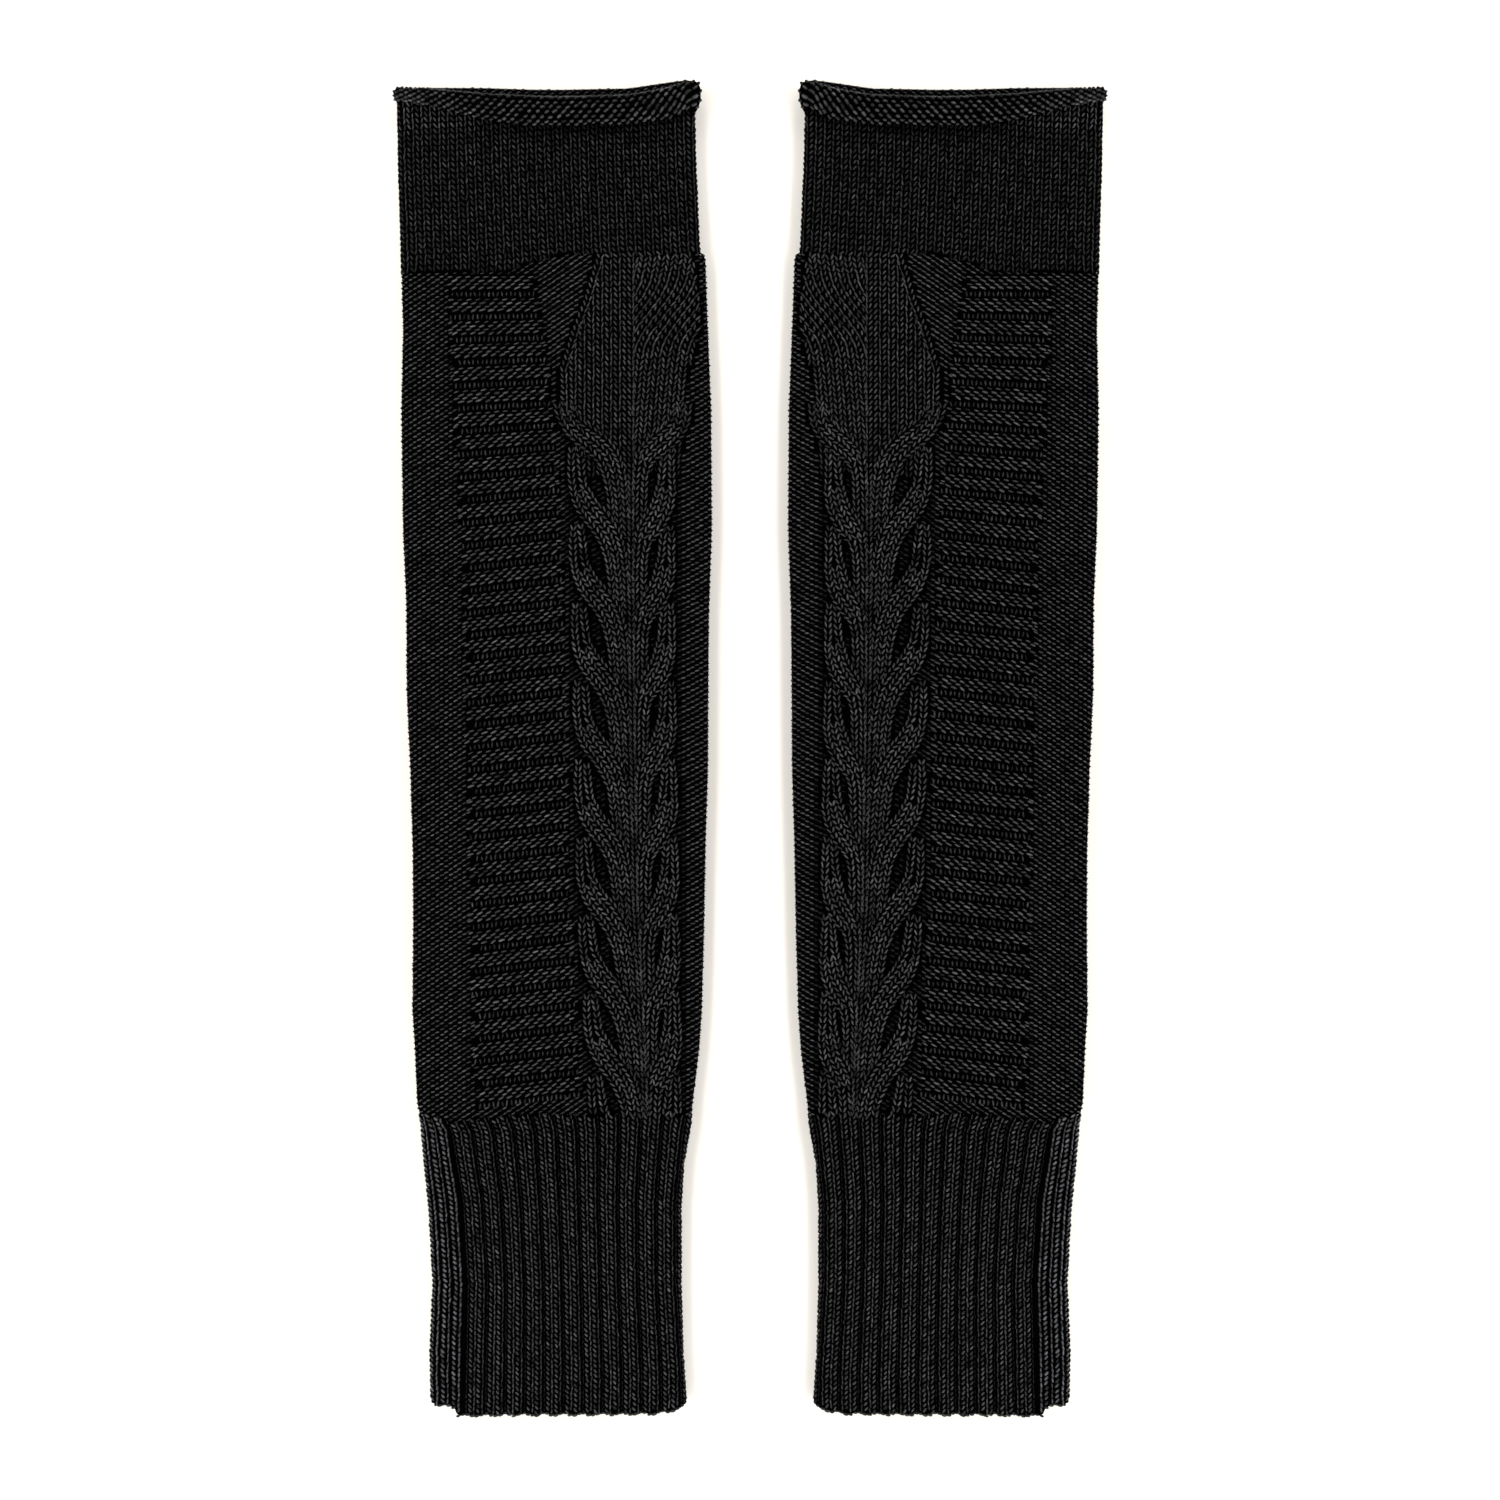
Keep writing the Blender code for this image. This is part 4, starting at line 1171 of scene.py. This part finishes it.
def cloth(name, front, dark, light, tint):
    """The cloth under the yarn: painted near-black shade where it shows between the stitches, and where it
    faces down a knit pattern with painted shade in its grooves.
    """
    material, tree, shader = new_material(name, 0.9, 0.0)

    def maths(operation, *values):
        step = node(tree, "ShaderNodeMath", operation=operation)
        for socket, value in zip(step.inputs, values):
            feed(tree, socket, value)
        return step.outputs[0]

    place = node(tree, "ShaderNodeSeparateXYZ")
    tree.links.new(node(tree, "ShaderNodeTexCoord").outputs["Object"], place.inputs[0])
    wale = maths("FRACT", maths("MULTIPLY", place.outputs["X"], 1 / (WALE * MM)))
    arm = maths("ABSOLUTE", maths("SUBTRACT", wale, 0.5))
    row = maths("ADD", maths("MULTIPLY", place.outputs["Y"], 1 / (ROW * MM)), maths("MULTIPLY", arm, 1.5))
    stitch = maths("SINE", maths("MULTIPLY", row, 2 * math.pi))
    groove = maths("MULTIPLY", maths("MULTIPLY", arm, maths("SUBTRACT", 0.5, arm)), 16.0)
    height = maths("MULTIPLY", groove, maths("ADD", maths("MULTIPLY", stitch, 0.35), 0.65))
    facing = node(tree, "ShaderNodeSeparateXYZ")
    tree.links.new(node(tree, "ShaderNodeNewGeometry").outputs["Normal"], facing.inputs[0])
    below = maths("GREATER_THAN", maths("MULTIPLY", facing.outputs["Z"], -1.0), 0.2)
    # The knit pattern: darker in its grooves as painted shade, with its height also as the bump
    knitted = mixed(tree, height, toned(dark, tint), toned(light, tint))
    # Elsewhere the front colour, a painted near-black shade between the stitches
    finish(tree, shader, mixed(tree, below, toned(front, tint), knitted), height, 0.8, 0.0004)
    return material


def piece_of(made):
    """The piece rides on the root body."""
    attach(made, "root")
    return made


def build():
    """Both warmers."""
    neutral = (1.0, 1.0, 1.015)
    # The shells' cloth, painted near black as shade between the stitches
    shells = cloth("ground_painted_shade", 0.0005, 0.002, 0.016, neutral)
    yarns = {
        "rolled_edge_knit": wool("rolled_edge_wool", 0.029, 0.072, neutral),
        "band_knit": wool("band_wool", 0.010, 0.045, neutral),
        "body_knit": wool("body_wool", 0.026, 0.070, neutral),
        "cuff_knit": wool("cuff_wool", 0.024, 0.064, neutral),
    }
    outer_half, cable_half = body_groups()
    sets = {
        "band_stitches": ("band_knit", 11, [(band_stitches(), over(band_relief))]),
        "roll_stitches": ("rolled_edge_knit", 12, [
            (roll_stitches(), roll_point), (wall_stitches(), wall), (back_lip_stitches(), on_front),
        ]),
        "welt_stitches": ("body_knit", 13, outer_half),
        "cable_stitches": ("body_knit", 14, cable_half),
        "cuff_stitches": ("cuff_knit", 15, [(cuff_stitches(), over(cuff_relief))]),
    }
    stretches = {
        "hand_band": ("band_knit", ("band_foot", "roll_foot"), band_relief, 72, 36, ["band_stitches"]),
        "body": (
            "body_knit", ("cuff_top", "band_foot"), body_relief, 88, 236, ["welt_stitches", "cable_stitches"],
        ),
        "cuff": ("cuff_knit", ("hem", "cuff_top"), cuff_relief, 106, 40, ["cuff_stitches"]),
    }
    for warmer, side in (("left", -1), ("right", 1)):
        for name, (slot, seed, groups) in sets.items():
            groups = [(shaken(rows, seed * 10 + k), surface) for k, (rows, surface) in enumerate(groups)]
            piece_of(spindle_mesh(f"{warmer}_{name}", side, groups, yarns[slot]))
        for node_name, (slot, span, relief, columns, rows, dressed) in stretches.items():
            name = f"{warmer}_{node_name}"
            shell = tube_shell(f"{name}_cloth", side, span, relief, columns, rows, shells)
            piece_of(shell)
            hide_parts(name)
        name = f"{warmer}_rolled_edge"
        shell = piece_of(roll_shell(f"{name}_cloth", side, shells))
        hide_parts(name)


FLOOR_HALF = 3000.0
FLOOR_DROP = 0.2
FLOOR_WHITE = (0.84, 0.805, 0.75, 1)


def floor():
    """A plain white floor."""
    material, _, shader = new_material("floor_white", 0.9, 0.0)
    shader.inputs["Base Color"].default_value = FLOOR_WHITE
    points = [(a * FLOOR_HALF, b * FLOOR_HALF, 0) for a, b in ((-1, -1), (1, -1), (1, 1), (-1, 1))]
    made = mesh_object("floor", points, [(0, 1, 2, 3)], material, smooth_shading=False)
    made.location.z = -FLOOR_DROP * MM


# Each light's name, place, width, length and power, in metres and watts
LAMPS = (
    ("left_strip", (-0.30, 0.0, 0.20), 0.22, 0.8, 2.75),
    ("right_strip", (0.30, 0.0, 0.20), 0.22, 0.8, 2.75),
    ("cuff_strip", (0.0, -0.36, 0.13), 0.10, 0.36, 0.7),
    ("hand_strip", (0.0, 0.36, 0.13), 0.10, 0.36, 0.6),
)
WORLD_COLOUR = (1, 0.97, 0.9, 1)
WORLD_STRENGTH = 0.05


def lamp(name, place, width, length, power):
    """A soft rectangular light that faces the garment, its length level."""
    data = bpy.data.lights.new(name, "AREA")
    data.shape = "RECTANGLE"
    data.size, data.size_y = width, length
    data.energy = power
    made = new_object(name, data)
    made.location = place
    made.rotation_euler = (-Vector(place)).to_track_quat("-Z", "X").to_euler()
    made.visible_camera = False


def camera():
    """Straight down, with the photo's frame of 420 mm."""
    data = bpy.data.cameras.new("camera")
    data.lens = LENS
    made = new_object("camera", data)
    made.location = (0, 0, CAMERA_HEIGHT)
    bpy.context.scene.camera = made


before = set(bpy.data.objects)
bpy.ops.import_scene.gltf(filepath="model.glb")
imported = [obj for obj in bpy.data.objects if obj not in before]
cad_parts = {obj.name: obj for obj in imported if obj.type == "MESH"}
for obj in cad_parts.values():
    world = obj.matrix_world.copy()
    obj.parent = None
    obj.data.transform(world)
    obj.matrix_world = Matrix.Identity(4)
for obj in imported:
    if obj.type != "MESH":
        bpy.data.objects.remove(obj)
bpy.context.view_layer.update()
build()
floor()
for values in LAMPS:
    lamp(*values)
camera()
world = bpy.data.worlds.new("studio")
bpy.context.scene.world = world
world.use_nodes = True
world.node_tree.nodes["Background"].inputs["Color"].default_value = WORLD_COLOUR
world.node_tree.nodes["Background"].inputs["Strength"].default_value = WORLD_STRENGTH
bpy.context.scene.view_settings.view_transform = "Standard"
